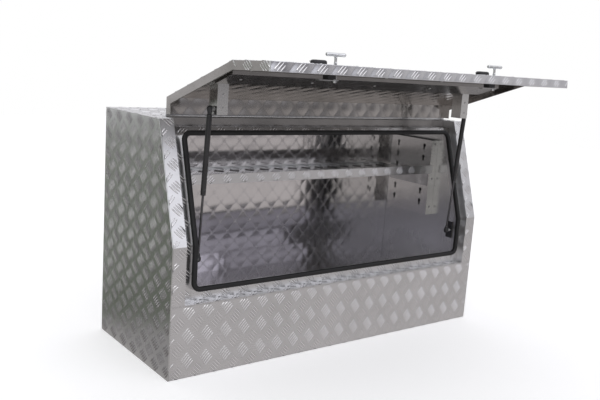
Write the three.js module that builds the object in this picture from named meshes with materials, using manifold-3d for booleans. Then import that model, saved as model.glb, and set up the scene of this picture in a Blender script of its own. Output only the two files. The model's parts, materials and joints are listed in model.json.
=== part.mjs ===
// Truck tool box: a sheet-aluminium cabinet with a gull-wing lid over three quarters of its front,
// held up by two gas struts and closed by two T-handle latches. The lid is drawn open.
// Millimetres. X runs along the box, Y from front (-) to back (+), Z up from the underside.

import * as THREE from 'three';
import { mergeVertices } from 'three/addons/utils/BufferGeometryUtils.js';
import Module from 'manifold-3d';

const wasm = await Module();
wasm.setup();

// ---------------------------------------------------------------- driving dimensions

const WIDTH = 1450;
const DEPTH = 550;
const HEIGHT = 850;
const SHEET = 3;
const GAP = 0.3;

const HALF = WIDTH / 2;
const FRONT = -DEPTH / 2;
const BACK = DEPTH / 2;
const INNER_HALF = HALF - SHEET - GAP;

// The front rises upright to the bend, then leans back to the top edge.
const BEND_Z = 450;
const SLOPE_SETBACK = 125;
const SLOPE = Math.atan2(SLOPE_SETBACK, HEIGHT - BEND_Z);
const SLOPE_SIN = Math.sin(SLOPE);
const SLOPE_COS = Math.cos(SLOPE);

// Door frame: a face strip, then a rain channel whose inner lip carries the seal.
const SILL_Z = 253;
const STRIP_WIDTH = 52;
const CHANNEL_DEPTH = 37;
const LIP_INSET = 90;
const LIP_FRONT = 12;
const SILL_LIP_Z = SILL_Z + 45.5;
const HEADER_LIP_ALONG = 374;
const HEADER_FLOOR_Z = HEIGHT - 33;
const SEAL_WIDTH = 18;
const SEAL_FRONT = 4;
const SEAL_BACK = 20;

// Lid, its hinge and how far it stands open.
const LID_HALF = HALF - 54;
const LID_FLANGE = 28;
const LID_BOTTOM_Z = SILL_Z + 3;
const HINGE_Y = FRONT + 187;
const HINGE_Z = HEIGHT + 4;
const TOP_EDGE_Y = HINGE_Y + 3;
const LID_REAR_Y = HINGE_Y - 5;
const OPEN_ANGLE = THREE.MathUtils.degToRad(91.5);
const KNUCKLE_RADIUS = 4.5;
const PIN_RADIUS = 1.9;
const KNUCKLE_COUNT = 15;
const LEAF_WIDTH = 26;
const LEAF_THICKNESS = 1.5;

const STIFFENER_HALF = LID_HALF - 52;
const STIFFENER_ALONG = [84, 194];
const STIFFENER_RISE = 12;
const STIFFENER_FOOT = 14;
const RAIL_SHEET = 2;

// Gas struts, one inside each end of the opening.
const STRUT_X = HALF - 120;
const STRUT_TOP = [FRONT + 13, 893];
const STRUT_LOW = [FRONT + 47, 392];
const TUBE_RADIUS = 9;
const TUBE_BORE = 7.8;
const TUBE_REACH = 284;
const ROD_RADIUS = 4;
const EYE_RADIUS = 8;
const EYE_HALF = 7;
const NECK_RADIUS = 5.5;
const STUD_RADIUS = 4;
const NUT_RADIUS = 7;
const STRUT_BRACKET = { inner: 553, outer: 593, front: FRONT - 10, back: FRONT + 40, foot: 876 };
const ANCHOR = { inner: 628, outer: 672, below: 34, above: 36, ear: 30 };

// T-handle latches on the upright part of the lid, each with a covered key lock on its left.
const LATCH_X = 368;
const LATCH_Z = 356;
const PLATE_SIZE = [150, 104];
const PLATE_SHIFT = -22;
const PLATE_THICKNESS = 1.5;
const RECESS_HALF = 46;
const RECESS_DEPTH = 14;
const PIVOT_DROP = 4;
const PIVOT_RADIUS = 2;
const BAR_RISE = 33;
const BAR_HALF = 38;
const BAR_RADIUS = 6;
const STEM_RADIUS = 5.5;
const TONGUE_HALF = 3.3;
const SPINDLE_RADIUS = 6;
const HEAD_RADIUS = 9.5;
const CAM_LENGTH = 66;
const CAM_DEPTH = 42;
const CAM_HALF = 9;
const HOUSING_SIZE = [32, 30, 25];
const HOUSING_SHIFT = -20;
const LOCK_X = -64;
const LOCK_RADIUS = 9;
const LOCK_RISE = 3.4;
const COVER = { left: -90, right: -38, low: -13, high: 12.5, foot: 2.4, crown: 14.5 };
const COVER_HINGE = [16.5, 6.5];
const COVER_HINGE_HALF = 9;
const KEEPER_HALF = 25;
const KEEPER_LOW_Z = 262;

// Perforated racks on the end walls and the shelf they carry.
const RACK_STANDOFF = 40;
const RACK_SHEET = 2;
const RACK_FRONT = FRONT + 248;
const RACK_BACK = FRONT + 501;
const RACK_LOW = 414;
const RACK_HIGH = 752;
const RACK_RIVETS_Z = [449, 578, 735];
const SLOT_COLUMNS = [FRONT + 294, FRONT + 457];
const SLOT_ROWS = 6;
const SLOT_FIRST_Z = 473;
const SLOT_PITCH = 50.4;
const SLOT_RADIUS = 8;
const SLOT_NECK = 4.5;
const SLOT_DROP = 20;
const SHELF_Z = 604;
const SHELF_LIP = 36;
const SHELF_BACK = BACK - SHEET - 1;
const SHELF_LIP_HALF = 697;
const ARM_FLANGE = 28;

// ---------------------------------------------------------------- materials

function material(colour, roughness, metalness) {
  return new THREE.MeshStandardMaterial({ color: colour, roughness, metalness });
}

const TREAD_PLATE = material(0xb4b6ba, 0.34, 1);
const PLAIN_SHEET = material(0xc4c6c8, 0.38, 1);
const STEEL = material(0xa2a4a6, 0.4, 1);
const STAINLESS = material(0xcfd1d3, 0.2, 1);
const RUBBER = material(0x17181a, 0.75, 0);
const STRUT_BLACK = material(0x121315, 0.35, 0);
const ROD_CHROME = material(0xc6c8ca, 0.12, 1);
const BLACK_PLASTIC = material(0x1a1b1d, 0.5, 0);

// ---------------------------------------------------------------- solids

function solidOf(geometry) {
  const bare = geometry.index ? geometry.toNonIndexed() : geometry.clone();
  bare.deleteAttribute('normal');
  bare.deleteAttribute('uv');
  const merged = mergeVertices(bare, 1e-4);
  const corners = merged.index.array;
  const kept = [];
  for (let i = 0; i < corners.length; i += 3) {
    const [a, b, c] = corners.slice(i, i + 3);
    if (a !== b && b !== c && c !== a) kept.push(a, b, c);
  }
  return new wasm.Manifold(new wasm.Mesh({
    numProp: 3,
    vertProperties: new Float32Array(merged.attributes.position.array),
    triVerts: new Uint32Array(kept),
  }));
}

function geometryOf(solid) {
  const mesh = solid.getMesh();
  const geometry = new THREE.BufferGeometry();
  geometry.setAttribute('position', new THREE.BufferAttribute(new Float32Array(mesh.vertProperties), 3));
  geometry.setIndex(new THREE.BufferAttribute(new Uint32Array(mesh.triVerts), 1));
  geometry.computeVertexNormals();
  return geometry;
}

function join(...geometries) {
  const solids = geometries.map(solidOf);
  return geometryOf(solids.reduce((whole, next) => whole.add(next)));
}

function cut(geometry, ...tools) {
  const solids = tools.map(solidOf);
  return geometryOf(solids.reduce((whole, next) => whole.subtract(next), solidOf(geometry)));
}

// A box between two corners, given as a range on each axis.
function block(x, y, z) {
  const geometry = new THREE.BoxGeometry(x[1] - x[0], y[1] - y[0], z[1] - z[0]);
  return geometry.translate((x[0] + x[1]) / 2, (y[0] + y[1]) / 2, (z[0] + z[1]) / 2);
}

// A cylinder along X, Y or Z from one value to the other.
function rod(axis, radius, from, to, centre = [0, 0], sides = 16) {
  const geometry = new THREE.CylinderGeometry(radius, radius, to - from, sides);
  const middle = (from + to) / 2;
  if (axis === 'x') return geometry.rotateZ(-Math.PI / 2).translate(middle, centre[0], centre[1]);
  if (axis === 'z') return geometry.rotateX(Math.PI / 2).translate(centre[0], centre[1], middle);
  return geometry.translate(centre[0], middle, centre[1]);
}

// An outline in the Y-Z plane, extruded along X.
function prism(outline, x) {
  const shape = new THREE.Shape(outline.map(([y, z]) => new THREE.Vector2(y, z)));
  const geometry = new THREE.ExtrudeGeometry(shape, { depth: x[1] - x[0], bevelEnabled: false });
  const turn = new THREE.Matrix4().makeBasis(
    new THREE.Vector3(0, 1, 0),
    new THREE.Vector3(0, 0, 1),
    new THREE.Vector3(1, 0, 0),
  );
  return geometry.applyMatrix4(turn).translate(x[0], 0, 0);
}

function roundedPlate(width, height, thickness, radius, corners = 3) {
  const w = width / 2 - radius;
  const h = height / 2 - radius;
  const shape = new THREE.Shape();
  shape.moveTo(w + radius, -h);
  shape.absarc(w, h, radius, 0, Math.PI / 2);
  shape.absarc(-w, h, radius, Math.PI / 2, Math.PI);
  shape.absarc(-w, -h, radius, Math.PI, Math.PI * 1.5);
  shape.absarc(w, -h, radius, Math.PI * 1.5, Math.PI * 2);
  return new THREE.ExtrudeGeometry(shape, {
    depth: thickness, bevelEnabled: false, curveSegments: corners,
  });
}

// A range of X measured in from one end of the box: side -1 is the left end, +1 the right.
function inset(side, near, far) {
  const a = side * (HALF - near);
  const b = side * (HALF - far);
  return [Math.min(a, b), Math.max(a, b)];
}

function mirrored(side, near, far) {
  return [Math.min(side * near, side * far), Math.max(side * near, side * far)];
}

// ---------------------------------------------------------------- the folded front

// A point on the leaning part: its distance up the slope from the bend, and how deep behind the face.
function slopePoint(along, deep) {
  return [
    FRONT + deep * SLOPE_COS + along * SLOPE_SIN,
    BEND_Z - deep * SLOPE_SIN + along * SLOPE_COS,
  ];
}

function alongAt(z, deep) {
  return (z - BEND_Z + deep * SLOPE_SIN) / SLOPE_COS;
}

function bendPoint(deep) {
  return [FRONT + deep, BEND_Z - deep * Math.tan(SLOPE / 2)];
}

function kneePoint(deep) {
  return slopePoint(alongAt(HEIGHT - deep, deep), deep);
}

// A band between two depths behind the front face, from a height up to a distance along the slope.
function frontBand(near, far, bottomZ, along) {
  return [
    [FRONT + near, bottomZ], bendPoint(near), slopePoint(along, near),
    slopePoint(along, far), bendPoint(far), [FRONT + far, bottomZ],
  ];
}

// The same band carried over the top edge and back to a given Y.
function wrapBand(near, far, bottomZ, rearY) {
  return [
    [FRONT + near, bottomZ], bendPoint(near), kneePoint(near), [rearY, HEIGHT - near],
    [rearY, HEIGHT - far], kneePoint(far), bendPoint(far), [FRONT + far, bottomZ],
  ];
}

// ---------------------------------------------------------------- scene graph helpers

const toolBox = new THREE.Group();
toolBox.name = 'truck_tool_box';

function addPiece(parent, name, geometry, look) {
  const mesh = new THREE.Mesh(geometry, look);
  mesh.name = name;
  parent.add(mesh);
  return mesh;
}

const SIDES = [['left', -1], ['right', 1]];

// ---------------------------------------------------------------- cabinet panels

function addPanels() {
  const across = [-INNER_HALF, INNER_HALF];
  const sideOutline = [
    [BACK, 0], [BACK, HEIGHT], kneePoint(0), bendPoint(0), [FRONT, 0],
  ];
  for (const [name, side] of SIDES) {
    addPiece(toolBox, `${name}_side_panel`, prism(sideOutline, inset(side, 0, SHEET)), TREAD_PLATE);
  }
  const floorBack = BACK - SHEET - GAP;
  addPiece(toolBox, 'floor_panel', block(across, [FRONT, floorBack], [0, SHEET]), TREAD_PLATE);
  const backTop = HEIGHT - SHEET - GAP;
  addPiece(toolBox, 'back_panel', block(across, [BACK - SHEET, BACK], [0, backTop]), TREAD_PLATE);
  addPiece(toolBox, 'top_panel', block(across, [TOP_EDGE_Y, BACK], [HEIGHT - SHEET, HEIGHT]), TREAD_PLATE);
  const frontHeight = [SHEET + GAP, SILL_Z - SHEET - GAP];
  addPiece(toolBox, 'lower_front_panel', block(across, [FRONT, FRONT + SHEET], frontHeight), TREAD_PLATE);
}

// ---------------------------------------------------------------- door frame and seal

function addDoorFrame() {
  const bottom = SILL_Z + GAP;
  const rear = TOP_EDGE_Y - GAP;
  const floorNear = CHANNEL_DEPTH - SHEET;
  const lipNear = LIP_INSET - SHEET / 2;
  const lipFar = LIP_INSET + SHEET / 2;
  const jambTop = HEADER_LIP_ALONG - SHEET;
  for (const [name, side] of SIDES) {
    const strip = prism(wrapBand(0, SHEET, bottom, rear), inset(side, SHEET + GAP, STRIP_WIDTH));
    const wallX = inset(side, STRIP_WIDTH - SHEET, STRIP_WIDTH);
    const wall = prism(wrapBand(0, CHANNEL_DEPTH, bottom, rear), wallX);
    const floorBand = frontBand(floorNear, CHANNEL_DEPTH, bottom, jambTop);
    const floor = prism(floorBand, inset(side, STRIP_WIDTH - SHEET, lipFar));
    const lipBand = frontBand(LIP_FRONT, CHANNEL_DEPTH, SILL_LIP_Z - SHEET / 2, jambTop);
    const lip = prism(lipBand, inset(side, lipNear, lipFar));
    addPiece(toolBox, `door_frame_${name}`, join(strip, wall, floor, lip), TREAD_PLATE);
  }

  const ledge = block([-INNER_HALF, INNER_HALF], [FRONT, FRONT + CHANNEL_DEPTH], [SILL_Z - SHEET, SILL_Z]);
  const between = [-(HALF - lipFar - GAP), HALF - lipFar - GAP];
  const riserTop = SILL_LIP_Z + SHEET / 2;
  const riserY = [FRONT + floorNear, FRONT + CHANNEL_DEPTH];
  const riser = block(between, riserY, [SILL_Z - SHEET, riserTop]);
  const lip = block(between, [FRONT + LIP_FRONT, FRONT + CHANNEL_DEPTH], [riserTop - SHEET, riserTop]);
  addPiece(toolBox, 'door_frame_sill', join(ledge, riser, lip), TREAD_PLATE);

  const low = HEADER_LIP_ALONG - SHEET / 2;
  const high = HEADER_LIP_ALONG + SHEET / 2;
  const wallTop = HEIGHT - 1;
  const gutterOutline = [
    [rear - SHEET, wallTop], [rear, wallTop], [rear, HEADER_FLOOR_Z],
    slopePoint(alongAt(HEADER_FLOOR_Z, CHANNEL_DEPTH), CHANNEL_DEPTH),
    slopePoint(low, CHANNEL_DEPTH), slopePoint(low, floorNear),
    slopePoint(alongAt(HEADER_FLOOR_Z + SHEET, floorNear), floorNear),
    [rear - SHEET, HEADER_FLOOR_Z + SHEET],
  ];
  const lipOutline = [
    slopePoint(low, CHANNEL_DEPTH), slopePoint(low, LIP_FRONT),
    slopePoint(high, LIP_FRONT), slopePoint(high, CHANNEL_DEPTH),
  ];
  const gutterHalf = HALF - STRIP_WIDTH - GAP;
  const gutter = prism(gutterOutline, [-gutterHalf, gutterHalf]);
  const headerLip = prism(lipOutline, [-(HALF - lipNear), HALF - lipNear]);
  addPiece(toolBox, 'door_frame_header', join(gutter, headerLip), TREAD_PLATE);
}

// A ring round the opening, centred on the lips, of a given width and depth range.
function openingRing(width, near, far) {
  const half = width / 2;
  const low = SILL_LIP_Z - half;
  const high = HEADER_LIP_ALONG + half;
  const across = [-(HALF - LIP_INSET + half), HALF - LIP_INSET + half];
  const within = [-(HALF - LIP_INSET - half), HALF - LIP_INSET - half];
  const outer = prism(frontBand(near, far, low, high), across);
  const hole = frontBand(near - 5, far + 5, SILL_LIP_Z + half, HEADER_LIP_ALONG - half);
  return cut(outer, prism(hole, within));
}

function addSeal() {
  const bulb = openingRing(SEAL_WIDTH, SEAL_FRONT, SEAL_BACK);
  const lipSlot = openingRing(SHEET + 4 * GAP, LIP_FRONT - 2 * GAP, SEAL_BACK + 5);
  addPiece(toolBox, 'door_seal', cut(bulb, lipSlot), RUBBER);
}

// ---------------------------------------------------------------- racks and shelf

// A keyhole slot as a cutter along X: a round entry with a narrower slot under it.
function keyhole(x, y, z) {
  const entry = rod('x', SLOT_RADIUS, x[0], x[1], [y, z], 14);
  return join(entry, block(x, [y - SLOT_NECK, y + SLOT_NECK], [z - SLOT_DROP, z]));
}

// Each rack stands off its end wall on two flanges; the front flange has a row of rivet holes.
function addRacks() {
  const far = RACK_STANDOFF + RACK_SHEET;
  const through = [RACK_STANDOFF - 3, far + 3];
  const height = [RACK_LOW, RACK_HIGH];
  const holeX = HALF - (RACK_STANDOFF + SHEET) / 2;
  for (const [name, side] of SIDES) {
    const face = block(inset(side, RACK_STANDOFF, far), [RACK_FRONT, RACK_BACK], height);
    const flangeX = inset(side, SHEET + GAP, far);
    const frontFlange = block(flangeX, [RACK_FRONT, RACK_FRONT + RACK_SHEET], height);
    const rearFlange = block(flangeX, [RACK_BACK - RACK_SHEET, RACK_BACK], height);
    const cutters = [];
    for (let row = 0; row < SLOT_ROWS; row += 1) {
      const z = SLOT_FIRST_Z + row * SLOT_PITCH;
      for (const y of SLOT_COLUMNS) cutters.push(keyhole(inset(side, ...through), y, z));
    }
    for (const z of RACK_RIVETS_Z) {
      cutters.push(rod('y', 2.5, RACK_FRONT - 2, RACK_FRONT + RACK_SHEET + 2, [side * holeX, z], 8));
    }
    const rack = cut(join(face, frontFlange, rearFlange), ...cutters);
    addPiece(toolBox, `shelf_rack_${name}`, rack, PLAIN_SHEET);
  }
}

function addShelf() {
  const rackFace = HALF - RACK_STANDOFF - RACK_SHEET;
  const half = rackFace - 1;
  const lipFront = RACK_FRONT - GAP - SHEET;
  const tray = block([-half, half], [lipFront, SHELF_BACK], [SHELF_Z, SHELF_Z + SHEET]);
  const lipY = [lipFront, lipFront + SHEET];
  const frontLip = block([-SHELF_LIP_HALF, SHELF_LIP_HALF], lipY, [SHELF_Z, SHELF_Z + SHELF_LIP]);
  const backLip = block([-half, half], [SHELF_BACK - SHEET, SHELF_BACK], [SHELF_Z, SHELF_Z + 12]);
  addPiece(toolBox, 'shelf_tray', join(tray, frontLip, backLip), TREAD_PLATE);

  // Two angle arms hook into the racks' third row of slots and carry the tray's ends.
  const hookZ = SLOT_FIRST_Z + 2 * SLOT_PITCH - SLOT_DROP;
  const armY = [RACK_FRONT + 6, RACK_BACK - 6];
  const armTop = SHELF_Z - GAP;
  for (const [name, side] of SIDES) {
    const web = mirrored(side, rackFace - GAP - RACK_SHEET, rackFace - GAP);
    const flange = mirrored(side, rackFace - ARM_FLANGE, rackFace - GAP);
    const throat = mirrored(side, rackFace - RACK_SHEET, rackFace + RACK_SHEET + 3.5);
    const hook = mirrored(side, rackFace + RACK_SHEET + 0.5, rackFace + RACK_SHEET + 3.5);
    const arm = [
      block(web, armY, [hookZ - 8, armTop]),
      block(flange, armY, [armTop - RACK_SHEET, armTop]),
    ];
    for (const y of SLOT_COLUMNS) {
      const hookY = [y - 3, y + 3];
      arm.push(block(throat, hookY, [hookZ + 2, hookZ + 12]));
      arm.push(block(hook, hookY, [hookZ - 8, hookZ + 12]));
    }
    addPiece(toolBox, `shelf_arm_${name}`, join(...arm), STEEL);
  }
}

// ---------------------------------------------------------------- piano hinge

// Knuckle number i along the lid, with a small running gap at each end.
function knuckleSpan(i) {
  const pitch = (2 * LID_HALF) / KNUCKLE_COUNT;
  const from = -LID_HALF + i * pitch;
  return [from + GAP, from + pitch - GAP];
}

// One leaf: a flat strip on the outer skin and every second knuckle. toward is +1 for the cabinet's
// leaf, behind the pin, and -1 for the lid's, in front of it.
function hingeLeaf(toward, firstKnuckle) {
  const leafZ = [HEIGHT + GAP, HEIGHT + GAP + LEAF_THICKNESS];
  const near = HINGE_Y + toward * (KNUCKLE_RADIUS + 0.7);
  const far = HINGE_Y + toward * LEAF_WIDTH;
  const pieces = [block([-LID_HALF, LID_HALF], [Math.min(near, far), Math.max(near, far)], leafZ)];
  for (let i = firstKnuckle; i < KNUCKLE_COUNT; i += 2) {
    const span = knuckleSpan(i);
    const web = [HINGE_Y + toward * 1.5, near + toward];
    pieces.push(block(span, [Math.min(...web), Math.max(...web)], leafZ));
    pieces.push(rod('x', KNUCKLE_RADIUS, span[0], span[1], [HINGE_Y, HINGE_Z], 12));
  }
  const bore = rod('x', PIN_RADIUS + 0.5, -HALF, HALF, [HINGE_Y, HINGE_Z], 10);
  return cut(join(...pieces), bore);
}

// ---------------------------------------------------------------- lid

// The lid is drawn closed; this group turns it about the hinge pin to where it stands open.
const lidTurn = new THREE.Group();
lidTurn.position.set(0, HINGE_Y, HINGE_Z);
lidTurn.rotation.x = -OPEN_ANGLE;
toolBox.add(lidTurn);
const lid = new THREE.Group();
lid.position.set(0, -HINGE_Y, -HINGE_Z);
lidTurn.add(lid);

// Where a point (y, z) of the closed lid goes when the lid is open.
function opened([y, z]) {
  const dy = y - HINGE_Y;
  const dz = z - HINGE_Z;
  return [
    HINGE_Y + dy * Math.cos(OPEN_ANGLE) + dz * Math.sin(OPEN_ANGLE),
    HINGE_Z - dy * Math.sin(OPEN_ANGLE) + dz * Math.cos(OPEN_ANGLE),
  ];
}

function addLidSkin() {
  const body = prism(wrapBand(0, LID_FLANGE, LID_BOTTOM_Z, LID_REAR_Y), [-LID_HALF, LID_HALF]);
  const inner = LID_HALF - SHEET;
  const hollowBand = wrapBand(SHEET, LID_FLANGE + 8, LID_BOTTOM_Z + SHEET, LID_REAR_Y + 8);
  const hollow = prism(hollowBand, [-inner, inner]);
  const cutters = [hollow];
  for (const side of [-1, 1]) {
    const x = side * LATCH_X;
    const opening = RECESS_HALF + PLATE_THICKNESS + 1;
    const through = [FRONT - 5, FRONT + SHEET + 5];
    cutters.push(block([x - opening, x + opening], through, [LATCH_Z - opening, LATCH_Z + opening]));
    cutters.push(rod('y', LOCK_RADIUS + 2, ...through, [x + LOCK_X, LATCH_Z]));
  }
  addPiece(lid, 'lid_skin', cut(body, ...cutters), TREAD_PLATE);
}

// A top-hat rail with closed ends, riveted across the inside of the leaning panel.
function addStiffener() {
  const [low, high] = STIFFENER_ALONG;
  const skin = SHEET + GAP;
  const foot = skin + RAIL_SHEET;
  const crown = skin + STIFFENER_RISE;
  const lean = 4;
  const outline = [
    slopePoint(low - STIFFENER_FOOT, skin), slopePoint(high + STIFFENER_FOOT, skin),
    slopePoint(high + STIFFENER_FOOT, foot), slopePoint(high, foot),
    slopePoint(high - lean, crown), slopePoint(low + lean, crown),
    slopePoint(low, foot), slopePoint(low - STIFFENER_FOOT, foot),
  ];
  const trough = [
    slopePoint(low + RAIL_SHEET, skin - 1), slopePoint(high - RAIL_SHEET, skin - 1),
    slopePoint(high - RAIL_SHEET - lean, crown - RAIL_SHEET),
    slopePoint(low + RAIL_SHEET + lean, crown - RAIL_SHEET),
  ];
  const troughHalf = STIFFENER_HALF - RAIL_SHEET;
  const rail = cut(
    prism(outline, [-STIFFENER_HALF, STIFFENER_HALF]),
    prism(trough, [-troughHalf, troughHalf]),
  );
  addPiece(lid, 'lid_stiffener', rail, PLAIN_SHEET);
}

// Channel brackets that hang from the leaning panel and hold the struts' upper studs.
function addStrutBrackets() {
  const { inner, outer, front, back, foot } = STRUT_BRACKET;
  const high = opened(slopePoint(alongAt(HEIGHT, 0) - 4, SHEET + GAP));
  const low = opened(slopePoint(0, SHEET + GAP));
  const rise = (low[1] - high[1]) / (low[0] - high[0]);
  const panelZ = (y) => high[1] + rise * (y - high[0]);
  const profile = [[front, foot], [back, foot], [back, panelZ(back)], [front, panelZ(front)]];
  for (const [name, side] of SIDES) {
    const body = prism(profile, mirrored(side, inner, outer));
    const hollowX = mirrored(side, inner + SHEET, outer - SHEET);
    const hollow = block(hollowX, [front + SHEET, back + 5], [foot - 5, 1200]);
    addPiece(toolBox, `lid_strut_bracket_${name}`, cut(body, hollow), PLAIN_SHEET);
    const tip = STRUT_X + EYE_HALF;
    const stud = join(
      rod('x', STUD_RADIUS, ...mirrored(side, outer + GAP, tip + 4), STRUT_TOP),
      rod('x', NUT_RADIUS, ...mirrored(side, outer + GAP, STRUT_X - EYE_HALF - 1), STRUT_TOP, 6),
      rod('x', NUT_RADIUS, ...mirrored(side, tip + 1, tip + 5), STRUT_TOP, 6),
    );
    addPiece(toolBox, `strut_upper_stud_${name}`, stud, STEEL);
  }
}

// ---------------------------------------------------------------- gas struts

// Each strut is drawn hanging down its own -Z from the upper stud and turned onto the line between studs.
const STRUT_RUN = [STRUT_LOW[0] - STRUT_TOP[0], STRUT_LOW[1] - STRUT_TOP[1]];
const STRUT_LENGTH = Math.hypot(...STRUT_RUN);
const STRUT_LEAN = Math.atan2(STRUT_RUN[0], -STRUT_RUN[1]);

function eye() {
  return rod('x', EYE_RADIUS, -EYE_HALF, EYE_HALF, [0, 0], 20);
}

function addStruts() {
  const tubeTop = -18;
  const pistonTop = -(TUBE_REACH - 24);
  const lowerNeck = -(STRUT_LENGTH - 16);
  for (const [name, side] of SIDES) {
    const strut = new THREE.Group();
    strut.position.set(side * STRUT_X, STRUT_TOP[0], STRUT_TOP[1]);
    strut.rotation.x = STRUT_LEAN;
    toolBox.add(strut);

    const upperEye = cut(
      join(eye(), rod('z', NECK_RADIUS, tubeTop + GAP, -4)),
      rod('x', STUD_RADIUS + 0.4, -EYE_HALF - 1, EYE_HALF + 1, [0, 0], 20),
    );
    addPiece(strut, `strut_upper_eye_${name}`, upperEye, BLACK_PLASTIC);

    const shell = rod('z', TUBE_RADIUS, -TUBE_REACH, tubeTop, [0, 0], 24);
    const chamber = rod('z', TUBE_BORE, -TUBE_REACH + 6, tubeTop - 4, [0, 0], 24);
    const gland = rod('z', ROD_RADIUS + 0.4, -TUBE_REACH - 1, -TUBE_REACH + 8);
    addPiece(strut, `strut_tube_${name}`, cut(shell, chamber, gland), STRUT_BLACK);

    const piston = rod('z', TUBE_BORE - 0.5, pistonTop - 14, pistonTop, [0, 0], 20);
    addPiece(strut, `strut_piston_${name}`, piston, STEEL);
    addPiece(strut, `strut_rod_${name}`, rod('z', ROD_RADIUS, lowerNeck, pistonTop - 14 - GAP), ROD_CHROME);

    const lowerEye = join(eye(), rod('z', NECK_RADIUS, 4, 16 - GAP)).translate(0, 0, -STRUT_LENGTH);
    addPiece(strut, `strut_lower_eye_${name}`, lowerEye, BLACK_PLASTIC);
  }
}

// An angle plate behind each jamb, with a stud that ends just short of the strut's lower eye.
function addLowerAnchors() {
  const { inner, outer, below, above, ear } = ANCHOR;
  const plateY = FRONT + CHANNEL_DEPTH + GAP;
  const plateZ = [STRUT_LOW[1] - below, STRUT_LOW[1] + above];
  const tip = STRUT_X + EYE_HALF + 0.5;
  for (const [name, side] of SIDES) {
    const foot = block(mirrored(side, inner, outer), [plateY, plateY + SHEET], plateZ);
    const web = block(mirrored(side, inner, inner + SHEET), [plateY, plateY + ear], plateZ);
    addPiece(toolBox, `strut_lower_bracket_${name}`, join(foot, web), STEEL);
    const stud = join(
      rod('x', STUD_RADIUS, ...mirrored(side, tip, inner - GAP), STRUT_LOW),
      rod('x', NUT_RADIUS, ...mirrored(side, inner - 6, inner - GAP), STRUT_LOW, 6),
    );
    addPiece(toolBox, `strut_lower_stud_${name}`, stud, STEEL);
  }
}

// ---------------------------------------------------------------- T-handle latches

// In a latch's own frame +Z points out of the lid's face, X runs along the box and Y up the lid.
function latchFrame(side) {
  const group = new THREE.Group();
  group.position.set(side * LATCH_X, FRONT, LATCH_Z);
  group.rotation.x = Math.PI / 2;
  lid.add(group);
  return group;
}

// A stainless plate with a square pan pressed into it, and two ears for the lock's cover.
function latchPlate() {
  const plate = roundedPlate(...PLATE_SIZE, PLATE_THICKNESS, 10).translate(PLATE_SHIFT, 0, GAP);
  const panSize = 2 * (RECESS_HALF + PLATE_THICKNESS);
  const panDepth = RECESS_DEPTH + PLATE_THICKNESS + GAP;
  const pan = roundedPlate(panSize, panSize, panDepth, 8).translate(0, 0, GAP - panDepth);
  const recess = roundedPlate(2 * RECESS_HALF, 2 * RECESS_HALF, 40, 7).translate(0, 0, -RECESS_DEPTH);
  const [hingeY, hingeZ] = COVER_HINGE;
  const ears = [-1, 1].map((end) => {
    const near = LOCK_X + end * COVER_HINGE_HALF;
    const far = near + end * 3;
    return block([Math.min(near, far), Math.max(near, far)], [hingeY - 2, hingeY + 3.5], [1, hingeZ + 2.8]);
  });
  const reach = COVER_HINGE_HALF + 5;
  const earHoles = rod('x', 1.8, LOCK_X - reach, LOCK_X + reach, COVER_HINGE, 10);
  const spindleHole = rod('z', SPINDLE_RADIUS + 0.8, -30, 0);
  const lockHole = rod('z', LOCK_RADIUS + 0.4, -10, 10, [LOCK_X, 0]);
  return cut(join(cut(plate, recess), cut(pan, recess), ...ears), earHoles, spindleHole, lockHole);
}

// A block behind the pan that guides the spindle, on the side of the lock.
function latchHousing() {
  const [width, height, depth] = HOUSING_SIZE;
  const face = -(RECESS_DEPTH + PLATE_THICKNESS + GAP);
  const shell = roundedPlate(width, height, depth, 5).translate(HOUSING_SHIFT, 0, face - depth);
  return cut(shell, rod('z', SPINDLE_RADIUS + 1, -60, 0));
}

// The spindle's slotted head stands in the pan and holds the handle's pivot.
function latchSpindle() {
  const head = rod('z', HEAD_RADIUS, -RECESS_DEPTH + GAP, 0, [0, 0], 20);
  const shaft = rod('z', SPINDLE_RADIUS, -(CAM_DEPTH + 9), -5);
  const slot = block([-TONGUE_HALF - 0.4, TONGUE_HALF + 0.4], [-15, 15], [-11, 5]);
  const pinHole = rod('x', PIVOT_RADIUS + 0.4, -15, 15, [0, -PIVOT_DROP], 12);
  return cut(join(head, shaft), slot, pinHole);
}

function latchCam() {
  const arm = block([-CAM_LENGTH, CAM_HALF], [-CAM_HALF, CAM_HALF], [-(CAM_DEPTH + SHEET), -CAM_DEPTH]);
  return cut(arm, rod('z', SPINDLE_RADIUS + GAP, -60, 0));
}

// A T: a flat tongue on the pivot, a round stem and a cross bar with domed ends.
function tHandle() {
  const tongue = block([-TONGUE_HALF, TONGUE_HALF], [-3.5, 3.5], [-PIVOT_DROP, 8]);
  const root = rod('x', 4.5, -TONGUE_HALF, TONGUE_HALF, [0, -PIVOT_DROP], 14);
  const stem = rod('z', STEM_RADIUS, 7, BAR_RISE);
  const bar = new THREE.CapsuleGeometry(BAR_RADIUS, 2 * (BAR_HALF - BAR_RADIUS), 4, 14);
  bar.rotateZ(Math.PI / 2).translate(0, 0, BAR_RISE);
  const pinHole = rod('x', PIVOT_RADIUS + 0.4, -15, 15, [0, -PIVOT_DROP], 12);
  return cut(join(tongue, root, stem, bar), pinHole);
}

function lockBarrel() {
  const barrel = rod('z', LOCK_RADIUS, -26, LOCK_RISE, [LOCK_X, 0], 20);
  const keyway = block([LOCK_X - 0.9, LOCK_X + 0.9], [-4.5, 4.5], [-2, 8]);
  return cut(barrel, keyway);
}

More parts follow.
